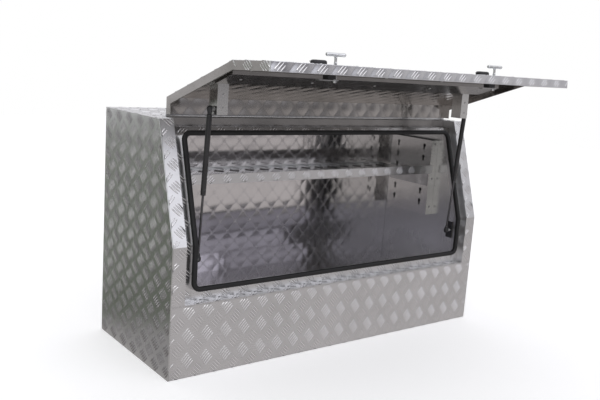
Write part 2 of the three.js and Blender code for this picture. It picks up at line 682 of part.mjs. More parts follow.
// A black cap over the keyhole, hinged along its upper edge, with a lifting tab at its left end.
function lockCover() {
  const { left, right, low, high, foot, crown } = COVER;
  const [hingeY, hingeZ] = COVER_HINGE;
  const middle = [(left + right) / 2, (low + high) / 2];
  const skirt = roundedPlate(right - left, high - low, crown - foot - 4, 6, 4).translate(...middle, foot);
  const top = roundedPlate(right - left - 5, high - low - 5, 4.5, 6, 4).translate(...middle, crown - 4.5);
  const hollow = rod('z', LOCK_RADIUS + 1.5, foot - 1, LOCK_RISE + 2, [LOCK_X, 0], 20);
  const tab = block([left - 5, left + 6], [-7, 7], [crown - 7, crown - 4.5]);
  const knuckleHalf = COVER_HINGE_HALF - 0.6;
  const knuckleX = [LOCK_X - knuckleHalf, LOCK_X + knuckleHalf];
  const neck = block(knuckleX, [high - 1, hingeY], [hingeZ - 1.5, hingeZ + 1.5]);
  const knuckle = rod('x', 3, ...knuckleX, COVER_HINGE, 12);
  const pinReach = COVER_HINGE_HALF + 4;
  const pin = rod('x', 1.4, LOCK_X - pinReach, LOCK_X + pinReach, COVER_HINGE, 10);
  return join(cut(join(skirt, top), hollow), tab, neck, knuckle, pin);
}

function addLatches() {
  for (const [name, side] of SIDES) {
    const latch = latchFrame(side);
    addPiece(latch, `latch_plate_${name}`, latchPlate(), STAINLESS);
    addPiece(latch, `latch_housing_${name}`, latchHousing(), BLACK_PLASTIC);
    addPiece(latch, `latch_spindle_${name}`, latchSpindle(), STAINLESS);
    addPiece(latch, `latch_cam_${name}`, latchCam(), STEEL);
    addPiece(latch, `t_handle_${name}`, tHandle(), STAINLESS);
    const pin = rod('x', PIVOT_RADIUS, -9, 9, [0, -PIVOT_DROP], 12);
    addPiece(latch, `t_handle_pin_${name}`, pin, STAINLESS);
    addPiece(latch, `lock_barrel_${name}`, lockBarrel(), STAINLESS);
    addPiece(latch, `lock_cover_${name}`, lockCover(), BLACK_PLASTIC);

    const keeperX = [side * LATCH_X - KEEPER_HALF, side * LATCH_X + KEEPER_HALF];
    const keeperY = [FRONT + CHANNEL_DEPTH + GAP, FRONT + CHANNEL_DEPTH + GAP + SHEET];
    const keeper = block(keeperX, keeperY, [KEEPER_LOW_Z, SILL_LIP_Z + 1]);
    addPiece(toolBox, `latch_keeper_${name}`, keeper, STEEL);
  }
}

// ---------------------------------------------------------------- assembly

addPanels();
addDoorFrame();
addSeal();
addRacks();
addShelf();
addPiece(toolBox, 'hinge_leaf_body', hingeLeaf(1, 0), STAINLESS);
addPiece(lid, 'hinge_leaf_lid', hingeLeaf(-1, 1), STAINLESS);
addPiece(toolBox, 'hinge_pin', rod('x', PIN_RADIUS, -LID_HALF, LID_HALF, [HINGE_Y, HINGE_Z], 10), STEEL);
addLidSkin();
addStiffener();
addStrutBrackets();
addStruts();
addLowerAnchors();
addLatches();

export default toolBox;
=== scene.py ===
"""Looks for the truck tool box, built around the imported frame.

Metres, in the row frame: X along the box, Y from the front (-) to the back (+), Z up.
Pieces on the lid are drawn with the lid closed and turned open with the OPENED matrix.
"""
import json
import math

import bpy
import numpy as np
from mathutils import Matrix, Vector


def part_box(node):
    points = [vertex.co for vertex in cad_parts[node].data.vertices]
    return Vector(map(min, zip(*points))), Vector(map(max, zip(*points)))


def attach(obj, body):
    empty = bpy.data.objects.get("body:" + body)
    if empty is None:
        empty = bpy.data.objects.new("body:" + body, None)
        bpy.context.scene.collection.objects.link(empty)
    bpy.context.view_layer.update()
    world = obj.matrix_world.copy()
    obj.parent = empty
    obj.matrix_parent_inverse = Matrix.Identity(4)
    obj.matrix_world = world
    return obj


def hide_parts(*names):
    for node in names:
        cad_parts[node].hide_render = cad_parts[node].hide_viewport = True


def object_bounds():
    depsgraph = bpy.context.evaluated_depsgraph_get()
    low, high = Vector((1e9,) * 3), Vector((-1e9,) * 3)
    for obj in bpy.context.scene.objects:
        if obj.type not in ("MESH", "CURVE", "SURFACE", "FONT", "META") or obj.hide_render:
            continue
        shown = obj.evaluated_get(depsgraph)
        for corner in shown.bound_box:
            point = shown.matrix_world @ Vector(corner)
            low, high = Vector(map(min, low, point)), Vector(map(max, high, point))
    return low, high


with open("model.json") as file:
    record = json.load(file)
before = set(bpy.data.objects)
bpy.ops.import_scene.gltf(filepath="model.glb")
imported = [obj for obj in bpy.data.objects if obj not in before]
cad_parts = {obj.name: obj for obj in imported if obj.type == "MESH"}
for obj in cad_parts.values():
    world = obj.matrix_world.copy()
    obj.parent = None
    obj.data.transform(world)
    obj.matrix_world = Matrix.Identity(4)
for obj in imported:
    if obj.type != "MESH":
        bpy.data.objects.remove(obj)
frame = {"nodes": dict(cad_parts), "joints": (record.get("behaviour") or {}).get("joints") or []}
CAD_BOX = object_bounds()
JOINTS = {joint["name"]: joint for joint in frame["joints"]}
SIDES = (("left", -1), ("right", 1))
MM = 0.001

# ---------- dimensions

RIGHT_LOW, RIGHT_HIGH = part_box("right_side_panel")
HALF, HEIGHT = RIGHT_HIGH.x, RIGHT_HIGH.z
FRONT, BACK = RIGHT_LOW.y, RIGHT_HIGH.y
SHEET = 3 * MM
BEND_Z = 450 * MM
SETBACK = 125 * MM
SLOPE = math.atan2(SETBACK, HEIGHT - BEND_Z)
SLOPE_LENGTH = math.hypot(SETBACK, HEIGHT - BEND_Z)

SILL_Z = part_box("door_frame_left")[0].z
STRIP_WIDTH = 52 * MM
CHANNEL_DEPTH = 37 * MM
LIP_INSET = 90 * MM
LIP_LOW_Z = 298.5 * MM
LIP_HIGH_ALONG = 374 * MM
HEADER_FLOOR_Z = HEIGHT - 33 * MM

LID_HALF = HALF - 54 * MM
LID_BOTTOM_Z = 256 * MM
LID_FLANGE = 28 * MM
LID_REAR_Y = -93 * MM
LATCH_X, LATCH_Z = 368 * MM, 356 * MM
PLATE_SHIFT = 22
HINGE = Vector(JOINTS["lid_hinge"]["pos_m"])
OPEN_ANGLE = math.radians(JOINTS["lid_hinge"]["range_deg"][1])
OPENED = Matrix.Translation(HINGE) @ Matrix.Rotation(-OPEN_ANGLE, 4, "X") @ Matrix.Translation(-HINGE)
IDENTITY = Matrix.Identity(4)
Z_TO_X = Matrix.Rotation(math.pi / 2, 4, "Y")
TO_METRES = Matrix.Diagonal((MM, MM, MM, 1))

# Five-bar tread: groups of five bars on a lattice, every second group mirrored.
TREAD_SHORT = 73 * MM
TREAD_LONG = 85 * MM
BAR_ANGLE = math.radians(47)
BAR_LENGTH = 40 * MM
BAR_WIDTH = 4.6 * MM
BAR_HEIGHT = 1.15 * MM
BAR_STEP = Vector((5.5 * MM, -7.5 * MM))
BARS_IN_GROUP = 5
BAR_MARGIN = 1.2 * MM
BAR_POINTS = 10
# Each ring of a bar, as shares of its length, width and height, from its foot in the sheet to its crest.
BAR_RINGS = ((1.06, 1.5, -0.15), (1.0, 1.0, 0.12), (0.96, 0.72, 0.66), (0.90, 0.34, 0.95), (0.84, 0.08, 1.0))

X_AXIS = Vector((1, 0, 0))
Y_AXIS = Vector((0, 1, 0))
Z_AXIS = Vector((0, 0, 1))


def slope_point(along, deep, x=0.0):
    """A point on the leaning front: its distance up the slope from the bend and how deep behind the face."""
    return Vector((
        x,
        FRONT + deep * math.cos(SLOPE) + along * math.sin(SLOPE),
        BEND_Z - deep * math.sin(SLOPE) + along * math.cos(SLOPE),
    ))


def along_axis(origin, direction, axis="Z"):
    """A matrix at the origin whose Z axis, or another that is named, runs along the direction."""
    return Matrix.Translation(origin) @ direction.to_track_quat(axis, "Y").to_matrix().to_4x4()


def add_object(name, data):
    obj = bpy.data.objects.new(name, data)
    bpy.context.scene.collection.objects.link(obj)
    return obj


# ---------- camera

CAMERA_PLACE = Vector((-1.825, -2.3485, 1.061))
CAMERA_AIM = Vector((0.5995, 0.7796, -0.1810))
CAMERA_ROLL = math.radians(3.958)
CAMERA_LENS = 45.2


def add_camera():
    data = bpy.data.cameras.new("camera")
    data.lens = CAMERA_LENS
    data.sensor_width = 36
    camera = add_object("camera", data)
    camera.matrix_world = along_axis(CAMERA_PLACE, CAMERA_AIM, "-Z") @ Matrix.Rotation(CAMERA_ROLL, 4, "Z")
    bpy.context.scene.camera = camera


add_camera()


# ---------- node helpers

NOISE_MIDDLE = (0.3, 0.7)


class Nodes:
    """A few short calls for building a node tree. A value is a number, a tuple or another node's output."""

    def __init__(self, tree):
        self.tree = tree

    def link(self, source, target):
        self.tree.links.new(source, target)

    def feed(self, slot, value):
        if isinstance(value, bpy.types.NodeSocket):
            self.link(value, slot)
        else:
            slot.default_value = value

    def add(self, kind, **settings):
        """A new node, with its inputs and its other settings given by name."""
        node = self.tree.nodes.new("ShaderNode" + kind)
        for name, value in settings.items():
            if name in node.inputs:
                self.feed(node.inputs[name], value)
            else:
                setattr(node, name, value)
        return node

    def math(self, operation, *values):
        node = self.add("Math", operation=operation)
        for slot, value in zip(node.inputs, values):
            self.feed(slot, value)
        return node.outputs[0]

    def split(self, vector):
        """A vector's parts, found as X, Y and Z."""
        return self.add("SeparateXYZ", Vector=vector).outputs

    def noise(self, vector, scale, detail=4.0, roughness=0.55, stretch=(1, 1, 1)):
        stretched = self.add("Mapping", Vector=vector, Scale=stretch).outputs[0]
        node = self.add("TexNoise", Vector=stretched, Scale=scale, Detail=detail, Roughness=roughness)
        return node.outputs["Fac"]

    def ranged(self, value, start, end, low=0.0, high=1.0, kind="LINEAR"):
        """A value mapped from start..end on to low..high."""
        limits = {"Value": value, "From Min": start, "From Max": end, "To Min": low, "To Max": high}
        return self.add("MapRange", interpolation_type=kind, **limits).outputs["Result"]

    def spread(self, value, low, high):
        """A noise mapped on to low..high, with its middle stretched to fill it."""
        return self.ranged(value, *NOISE_MIDDLE, low, high)

    def smooth_step(self, value, low, high):
        return self.ranged(value, low, high, kind="SMOOTHSTEP")

    def mixed(self, factor, first, second):
        """A mix of two colours."""
        node = self.add("Mix", data_type="RGBA")
        for name, kind, value in (("Factor", "VALUE", factor), ("A", "RGBA", first), ("B", "RGBA", second)):
            slot = next(slot for slot in node.inputs if slot.name == name and slot.type == kind)
            self.feed(slot, (*value, 1) if isinstance(value, tuple) else value)
        return next(output for output in node.outputs if output.type == "RGBA")

    def bump(self, height, strength, distance, under=None):
        """The normal of a bump, over another bump's normal if one is given."""
        node = self.add("Bump", Height=height, Strength=strength, Distance=distance)
        if under:
            self.link(under, node.inputs["Normal"])
        return node.outputs["Normal"]


def new_material(name):
    """A new material, its nodes, its shader's inputs and the row-frame coordinates of its pattern."""
    material = bpy.data.materials.new(name)
    material.use_nodes = True
    nodes = Nodes(material.node_tree)
    inputs = material.node_tree.nodes["Principled BSDF"].inputs
    place = nodes.add("TexCoord").outputs["Object"]
    return material, nodes, inputs, place


# ---------- materials

# The pressed sheets' print: how soft its creases are, the swell's height at which they fade, and how dull they are.
CREASE_SOFTNESS = 0.012
CREASE_HEIGHTS = (0.105, 0.165)
CREASE_ROUGHNESS = 0.14
STREAK_ROUGHNESS = 0.07
# The colour at the bars' feet: dirt, and painted shade in the dim grooves beside the bars.
BAR_FOOT_DIRT_AND_SHADE = (0.42, 0.41, 0.41)
SQUARELY = 0.7
# The lid's front flange: a painted reflection, pale and bluish.
LID_FLANGE_PAINTED_REFLECTION = (0.90, 0.91, 0.94)
LID_OUTER_COLOUR = (0.72, 0.72, 0.73)


def sheet_metal(name, light, dark, rough, streak_axis="X", print_plane=None, print_depth=0.0):
    """Mill-finish aluminium: rolling streaks, handling smudges, and the tread showing through as soft dents."""
    material, nodes, inputs, place = new_material(name)
    inputs["Metallic"].default_value = 1.0
    smudge = nodes.noise(place, 5.0, detail=6.0, roughness=0.62)
    cloud = nodes.noise(place, 1.7, detail=2.0)
    stretch = [1.2 if axis == streak_axis else 90 for axis in "XYZ"]
    streak = nodes.noise(place, 9.0, detail=3.0, stretch=stretch)
    nodes.link(nodes.mixed(nodes.spread(smudge, 0, 1), light, dark), inputs["Base Color"])
    grime = nodes.math("ADD", nodes.spread(smudge, 0, 0.5), nodes.spread(cloud, 0, 0.5))
    rough_low, rough_high = rough
    value = nodes.math("MULTIPLY_ADD", grime, rough_high - rough_low, rough_low)
    fine = nodes.math("MULTIPLY_ADD", streak, STREAK_ROUGHNESS, value)
    roughness = nodes.math("SUBTRACT", fine, STREAK_ROUGHNESS / 2)
    wave = nodes.bump(cloud, 0.5, 2.5 * MM)
    normal = nodes.bump(streak, 0.22, 0.1 * MM, wave)
    if print_plane:
        normal, crease = tread_print(nodes, place, print_plane, print_depth, normal)
        if print_plane == "XZ":
            roughness = nodes.math("MULTIPLY_ADD", crease, CREASE_ROUGHNESS, roughness)
    nodes.link(roughness, inputs["Roughness"])
    nodes.link(normal, inputs["Normal"])
    return material


def own_normal(nodes):
    """The parts of the face's normal in the object's own axes, which turn with the body."""
    normal = nodes.add("NewGeometry").outputs["True Normal"]
    own = nodes.add("VectorTransform", vector_type="NORMAL", convert_from="WORLD",
                    convert_to="OBJECT", Vector=normal)
    return nodes.split(own.outputs[0])


def lid_outside(nodes, facing):
    """1 on the lid's outer side, which faces back or up when the lid is open, 0 inside it and on its ends."""
    return nodes.smooth_step(nodes.math("ADD", facing["Y"], facing["Z"]), 0.2, 0.4)


def tread_print(nodes, place, plane, depth, under):
    """The normal and the creases of a pressed sheet's smooth side: a soft swell behind each group of bars, with
    creases between that cross in a lattice. The plane "lid" is all of the lid's inside, whichever way it faces."""
    axes = nodes.split(place)
    if plane == "lid":
        facing = own_normal(nodes)
        upright = nodes.math("GREATER_THAN", nodes.math("ABSOLUTE", facing["Y"]), SQUARELY)
        not_end = nodes.math("LESS_THAN", nodes.math("ABSOLUTE", facing["X"]), SQUARELY)
        inside = nodes.math("SUBTRACT", 1.0, lid_outside(nodes, facing))
        strength = nodes.math("MULTIPLY", not_end, inside)
        short_axis = axes["X"]
        long_axis = nodes.math("ADD", nodes.math("MULTIPLY", axes["Z"], upright),
                               nodes.math("MULTIPLY", axes["Y"], nodes.math("SUBTRACT", 1.0, upright)))
    else:
        strength = 1.0
        short_axis, long_axis = axes[plane[0]], axes[plane[1]]
    short = nodes.math("COSINE", nodes.math("MULTIPLY", short_axis, 2 * math.pi / TREAD_SHORT))
    long = nodes.math("COSINE", nodes.math("MULTIPLY", long_axis, 2 * math.pi / TREAD_LONG))
    swell = nodes.math("MULTIPLY", nodes.math("ADD", short, long), 0.5)
    height = nodes.math("SQRT", nodes.math("MULTIPLY_ADD", swell, swell, CREASE_SOFTNESS))
    crease = nodes.math("SUBTRACT", 1.0, nodes.smooth_step(height, *CREASE_HEIGHTS))
    return nodes.bump(height, strength, depth, under), crease


def patchy(name, first, second, rough, scale, detail):
    """A new material whose colour and roughness drift between two values in patches."""
    material, nodes, inputs, place = new_material(name)
    patch = nodes.noise(place, scale, detail=detail)
    nodes.link(nodes.mixed(nodes.spread(patch, 0, 1), first, second), inputs["Base Color"])
    nodes.link(nodes.spread(patch, *rough), inputs["Roughness"])
    return material, nodes, inputs, place


def bright_metal(name, colour, worn, rough, grain=60.0):
    """Polished or plated metal with a faint grain and duller worn patches."""
    material, nodes, inputs, place = patchy(name, colour, worn, rough, 22.0, 5.0)
    inputs["Metallic"].default_value = 1.0
    brushed = nodes.noise(place, grain, detail=3.0, stretch=(1, 8, 8))
    nodes.link(nodes.bump(brushed, 0.15, 0.05 * MM), inputs["Normal"])
    return material


def dark_moulding(name, colour, dusty, rough, grain, depth, coat=0.0):
    """Black paint, plastic or rubber: a fine grain, with pale dust in patches."""
    material, nodes, inputs, place = patchy(name, colour, dusty, rough, 14.0, 6.0)
    inputs["Coat Weight"].default_value = coat
    inputs["Coat Roughness"].default_value = 0.15
    pores = nodes.noise(place, grain, detail=2.0)
    nodes.link(nodes.bump(pores, 0.4, depth), inputs["Normal"])
    return material


def recolour(material, change):
    """Puts a change of colour between a material's pattern and its shader."""
    nodes = Nodes(material.node_tree)
    slot = material.node_tree.nodes["Principled BSDF"].inputs["Base Color"]
    nodes.link(change(nodes, slot.links[0].from_socket), slot)
    return material


def bar_dirt_shade_and_highlight(nodes, worn):
    """The raised bars: bright on the crests, partly wear where feet and tools rub them and partly a painted
    highlight, and darker round their feet, partly dirt and partly painted shade.
    """
    crest = nodes.add("Attribute", attribute_name="crest").outputs["Fac"]
    return nodes.mixed(nodes.smooth_step(crest, 0.0, 0.8), BAR_FOOT_DIRT_AND_SHADE, worn)


def lid_painted_light_and_shade(nodes, inside):
    """The lid's turned-over front flange is painted pale and bluish, a painted reflection, and its outer side takes
    the outer sheet's colour over the darker sheet inside the lid, which is painted shade.
    """
    axes = nodes.split(nodes.add("TexCoord").outputs["Object"])
    forward = nodes.math("MULTIPLY", axes["Y"], -1.0)
    reach = -CAD_BOX[0].y
    flange = nodes.smooth_step(forward, reach - 12 * MM, reach - 6 * MM)
    flanged = nodes.mixed(flange, inside, LID_FLANGE_PAINTED_REFLECTION)
    return nodes.mixed(lid_outside(nodes, own_normal(nodes)), flanged, LID_OUTER_COLOUR)


OUTER = sheet_metal("tread_sheet", (0.74, 0.74, 0.75), (0.64, 0.64, 0.64), (0.24, 0.36))
OUTER_BACK = sheet_metal("inner_back_sheet", (0.74, 0.72, 0.72), (0.64, 0.62, 0.62), (0.08, 0.17),
                         print_plane="XZ", print_depth=0.55 * MM)
OUTER_SIDE = sheet_metal("side_sheet", (0.70, 0.71, 0.70), (0.60, 0.61, 0.60), (0.20, 0.32),
                         streak_axis="Z", print_plane="ZY", print_depth=0.02 * MM)
# Inside the lid the sheet is a darker, browner copy of the aluminium: painted shade.
LID_SHEET = recolour(sheet_metal("lid_sheet", (0.54, 0.52, 0.505), (0.36, 0.345, 0.33), (0.13, 0.25),
                                 print_plane="lid", print_depth=1.3 * MM), lid_painted_light_and_shade)
# The bars are a brighter copy of the sheet's aluminium, a painted highlight; their feet get dirt and painted shade.
BARS = recolour(sheet_metal("tread_bars", (0.97, 0.97, 0.98), (0.86, 0.86, 0.87), (0.14, 0.26)), bar_dirt_shade_and_highlight)
SHADED = sheet_metal("shaded_sheet", (0.36, 0.35, 0.345), (0.25, 0.245, 0.24), (0.16, 0.28))
PLAIN = sheet_metal("folded_sheet", (0.76, 0.76, 0.75), (0.66, 0.66, 0.65), (0.18, 0.30))
STEEL = bright_metal("zinc_steel", (0.62, 0.63, 0.64), (0.50, 0.50, 0.50), (0.25, 0.42))
STAINLESS = bright_metal("polished_stainless", (0.80, 0.81, 0.82), (0.68, 0.69, 0.70), (0.06, 0.20))
CASTING = bright_metal("chromed_casting", (0.82, 0.83, 0.84), (0.72, 0.73, 0.74), (0.05, 0.14), grain=25.0)
# The chromed rod's colour is kept dark: a painted reflection of dark surroundings, not the chrome's own tone.
CHROME = bright_metal("chromed_rod", (0.16, 0.16, 0.165), (0.10, 0.10, 0.11), (0.06, 0.16))
RUBBER = dark_moulding("black_rubber", (0.004, 0.004, 0.0045), (0.010, 0.010, 0.011), (0.55, 0.72), 900.0,
                       0.15 * MM)
PAINT = dark_moulding("strut_paint", (0.008, 0.008, 0.009), (0.02, 0.02, 0.022), (0.24, 0.42), 1500.0,
                      0.04 * MM, 0.3)
PLASTIC = dark_moulding("black_plastic", (0.014, 0.014, 0.016), (0.03, 0.03, 0.032), (0.34, 0.55), 1200.0,
                        0.1 * MM)

# Each look and the starts of the nodes' names that wear it. The first line that fits a name counts.
LOOKS = (
    (SHADED, "door_frame_header lid_stiffener"),
    (OUTER, "floor_panel top_panel lower_front_panel door_frame shelf_tray"),
    (OUTER_SIDE, "left_side_panel right_side_panel"),
    (OUTER_BACK, "back_panel"),
    (LID_SHEET, "lid_skin"),
    (PLAIN, "shelf_rack lid_strut_bracket"),
    (STEEL, "shelf_arm strut_upper_stud strut_piston strut_lower_stud latch_cam latch_keeper"),
    (STAINLESS, "hinge latch_plate latch_spindle t_handle lock_barrel"),
    (CHROME, "strut_rod"),
    (RUBBER, "door_seal"),
    (PAINT, "strut_tube strut_lower_bracket"),
    (PLASTIC, "strut_upper_eye strut_lower_eye latch_housing lock_cover"),
)
SOFT_EDGED = ("panel", "door_frame", "shelf_tray", "shelf_arm", "lid_skin", "lid_stiffener", "bracket",
              "latch_plate", "latch_housing", "latch_cam", "latch_keeper")


def dress_nodes():
    """Gives every CAD node its material, and folded and machined ones a small rounded edge."""
    for name, obj in frame["nodes"].items():
        obj.data.materials.clear()
        look = next(look for look, starts in LOOKS if name.startswith(tuple(starts.split())))
        obj.data.materials.append(look)
        if any(word in name for word in SOFT_EDGED):
            weld = obj.modifiers.new("weld", "WELD")
            weld.merge_threshold = 0.01 * MM
            bevel = obj.modifiers.new("soft_edge", "BEVEL")
            bevel.width = 0.7 * MM
            bevel.segments = 2
            bevel.limit_method = "ANGLE"
            bevel.angle_limit = math.radians(40)


dress_nodes()


# ---------- mesh helpers

def mesh_piece(name, body, material, vertices, faces, smooth=True):
    data = bpy.data.meshes.new(name)
    data.from_pydata([tuple(v) for v in vertices], [], faces)
    data.materials.append(material)
    data.polygons.foreach_set("use_smooth", [smooth] * len(data.polygons))
    data.update()
    obj = add_object(name, data)
    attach(obj, body)
    return obj


def circle(count):
    """Evenly spaced directions, as (cosine, sine)."""
    angles = [2 * math.pi * k / count for k in range(count)]
    return [(math.cos(a), math.sin(a)) for a in angles]


class Builder:
    """Collects the vertices and faces of several shapes into one piece."""

    def __init__(self):
        self.vertices = []
        self.faces = []

    def rings(self, rings, loop=False):
        """Joins rings of equally many points into a skin, with flat ends or back on to the first ring."""
        start = len(self.vertices)
        count = len(rings[0])
        for ring in rings:
            self.vertices.extend(ring)
        pairs = len(rings) if loop else len(rings) - 1
        for i in range(pairs):
            here = start + i * count
            there = start + ((i + 1) % len(rings)) * count
            for k in range(count):
                nxt = (k + 1) % count
                self.faces.append((here + k, here + nxt, there + nxt, there + k))
        if not loop:
            self.faces.append(tuple(reversed(range(start, start + count))))
            last = start + (len(rings) - 1) * count
            self.faces.append(tuple(range(last, last + count)))

    def lathe(self, profile, matrix, sides=24):
        """Turns (radius, height) points about the matrix's Z axis."""
        self.rings([[matrix @ Vector((radius * c, radius * s, height)) for c, s in circle(sides)]
                    for radius, height in profile])

    def piece(self, name, body, material, smooth=True):
        return mesh_piece(name, body, material, self.vertices, self.faces, smooth)


def smooth_by_angle(obj, degrees=35):
    """Keeps edges sharper than the angle crisp on a smooth-shaded piece."""
    normals = {}
    for polygon in obj.data.polygons:
        for key in polygon.edge_keys:
            normals.setdefault(key, []).append(polygon.normal)
    for edge in obj.data.edges:
        pair = normals.get(edge.key, ())
        if len(pair) == 2 and pair[0].length and pair[1].length:
            if pair[0].angle(pair[1]) > math.radians(degrees):
                edge.use_edge_sharp = True


# ---------- tread bars

def bar_rings():
    """One bar's rings of points, from its foot in the sheet to its crown: an array of (ring, point, xyz)."""
    angle = np.linspace(0, 2 * math.pi, BAR_POINTS, endpoint=False)
    rings = []
    for length, width, height in BAR_RINGS:
        x = np.cos(angle) * BAR_LENGTH / 2 * length
        y = np.sin(angle) * BAR_WIDTH / 2 * width
        rings.append(np.stack([x, y, np.full(BAR_POINTS, height * BAR_HEIGHT)], axis=1))
    return np.array(rings)


BAR = bar_rings()


class Face:
    """A flat stretch of tread plate: its corner, the ways of its short and long pitch, its outline in them, the
    lattice's start, the scale of the bars' height, and rectangles without bars."""

    def __init__(self, origin, short, long, outline, phase=(0.0, 0.0), scale=1.0, gaps=()):
        self.origin = np.array(origin)
        self.short = np.array(short.normalized())
        self.long = np.array(long.normalized())
        self.normal = np.cross(self.short, self.long)
        self.outline = np.array(outline)
        self.phase, self.scale, self.gaps = phase, scale, gaps


def half_planes(outline):
    """Inward normals and offsets of a convex outline's edges."""
    nxt = np.roll(outline, -1, axis=0)
    run = nxt - outline
    area = np.sum(outline[:, 0] * nxt[:, 1] - nxt[:, 0] * outline[:, 1])
    inward = np.stack([-run[:, 1], run[:, 0]], axis=1) * np.sign(area)
    inward /= np.linalg.norm(inward, axis=1)[:, None]
    return inward, np.sum(inward * outline, axis=1)


def pitches(low, high, phase, pitch):
    """The numbers of the lattice's lines between two places."""
    return np.arange(math.floor((low - phase) / pitch), math.ceil((high - phase) / pitch) + 1)


def face_bars(face):
    """The bars of one face: an array of (bar, ring, point, xyz)."""
    inward, offset = half_planes(face.outline)
    low = face.outline.min(axis=0) - TREAD_LONG
    high = face.outline.max(axis=0) + TREAD_LONG
    columns = pitches(low[0], high[0], face.phase[0], TREAD_SHORT)
    rows = pitches(low[1], high[1], face.phase[1], TREAD_LONG)
    bars = []
    for mirror in (1, -1):
        shift = (0.0, 0.0) if mirror == 1 else (TREAD_SHORT / 2, TREAD_LONG / 2)
        direction = np.array([math.cos(BAR_ANGLE), math.sin(BAR_ANGLE) * mirror])
        step = np.array([BAR_STEP.x, BAR_STEP.y * mirror])
        for i in columns:
            for j in rows:
                group = np.array([face.phase[0] + shift[0] + i * TREAD_SHORT,
                                  face.phase[1] + shift[1] + j * TREAD_LONG])
                for k in range(BARS_IN_GROUP):
                    centre = group + step * (k - (BARS_IN_GROUP - 1) / 2)
                    covered = any(low_x < centre[0] < high_x and low_y < centre[1] < high_y
                                  for low_x, low_y, high_x, high_y in face.gaps)
                    if not covered and np.all(inward @ centre > offset + BAR_MARGIN):
                        bars.append((centre, direction))
    if not bars:
        return np.zeros((0, *BAR.shape))
    centres = np.array([bar[0] for bar in bars])[:, None, None, :]
    along = np.array([bar[1] for bar in bars])[:, None, None, :]
    across = np.stack([-along[..., 1], along[..., 0]], axis=-1)
    flat = centres + BAR[None, :, :, 0:1] * along + BAR[None, :, :, 1:2] * across
    for normal, edge in zip(inward, offset):
        short_by = np.maximum(edge + BAR_MARGIN - flat @ normal, 0)
        flat = flat + short_by[..., None] * normal
    rise = BAR[None, :, :, 2:3] * face.scale
    return (face.origin + flat[..., 0:1] * face.short + flat[..., 1:2] * face.long
            + rise * face.normal)


def add_tread(name, body, faces, matrix=IDENTITY):
    """All the bars of several faces as one piece."""
    points = np.concatenate([face_bars(face) for face in faces])
    turn = np.array(matrix)
    flat = points.reshape(-1, 3) @ turn[:3, :3].T + turn[:3, 3]
    bar = Builder()
    bar.rings(BAR)
    starts = range(0, len(flat), len(bar.vertices))
    faces_out = [tuple(start + corner for corner in face) for start in starts for face in bar.faces]
    piece = mesh_piece(name, body, BARS, flat, faces_out)
    crest = piece.data.attributes.new("crest", "FLOAT", "POINT")
    one_bar = np.repeat([ring[2] for ring in BAR_RINGS], BAR_POINTS)
    crest.data.foreach_set("value", np.tile(one_bar, len(points)).astype(np.float32))
    return piece


def rectangle(width, height, x=0.0, y=0.0):
    return [(x, y), (x + width, y), (x + width, y + height), (x, y + height)]


def build_cabinet_tread():
    """Bars on the cabinet's six sheets, each sheet's bars a piece of their own."""
    width, depth = 2 * HALF, BACK - FRONT
    # The side sheets are turned: their long pitch runs from back to front.
    knee = slope_point(SLOPE_LENGTH, 0)
    side = ((0, BACK), (HEIGHT, BACK), (HEIGHT, knee.y), (BEND_Z, FRONT), (0, FRONT))
    top_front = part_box("top_panel")[0].y + 28 * MM
    for name, *face in (
            ("lower_front", (-HALF, FRONT, 0), X_AXIS, Z_AXIS, rectangle(width, SILL_Z - 4 * MM),
             (68 * MM, 60 * MM)),
            ("left_side", (-HALF, 0, 0), Z_AXIS, -Y_AXIS, [(z, -y) for z, y in side],
             (26 * MM, -(FRONT + 98 * MM))),
            ("right_side", (HALF, 0, 0), Z_AXIS, Y_AXIS, side, (41 * MM, FRONT + 52 * MM)),
            ("top", (-HALF, top_front, HEIGHT), X_AXIS, Y_AXIS, rectangle(width, BACK - top_front),
             (30 * MM, 20 * MM)),
            ("back", (HALF, BACK, 0), -X_AXIS, Z_AXIS, rectangle(width, HEIGHT), (20 * MM, 44 * MM)),
            ("floor_inside", (-HALF, FRONT, SHEET), X_AXIS, Y_AXIS,
             rectangle(width - 4 * SHEET, depth - 4 * SHEET, 2 * SHEET, 2 * SHEET), (40 * MM, 30 * MM))):
        add_tread(f"tread_{name}", "box", [Face(*face)])


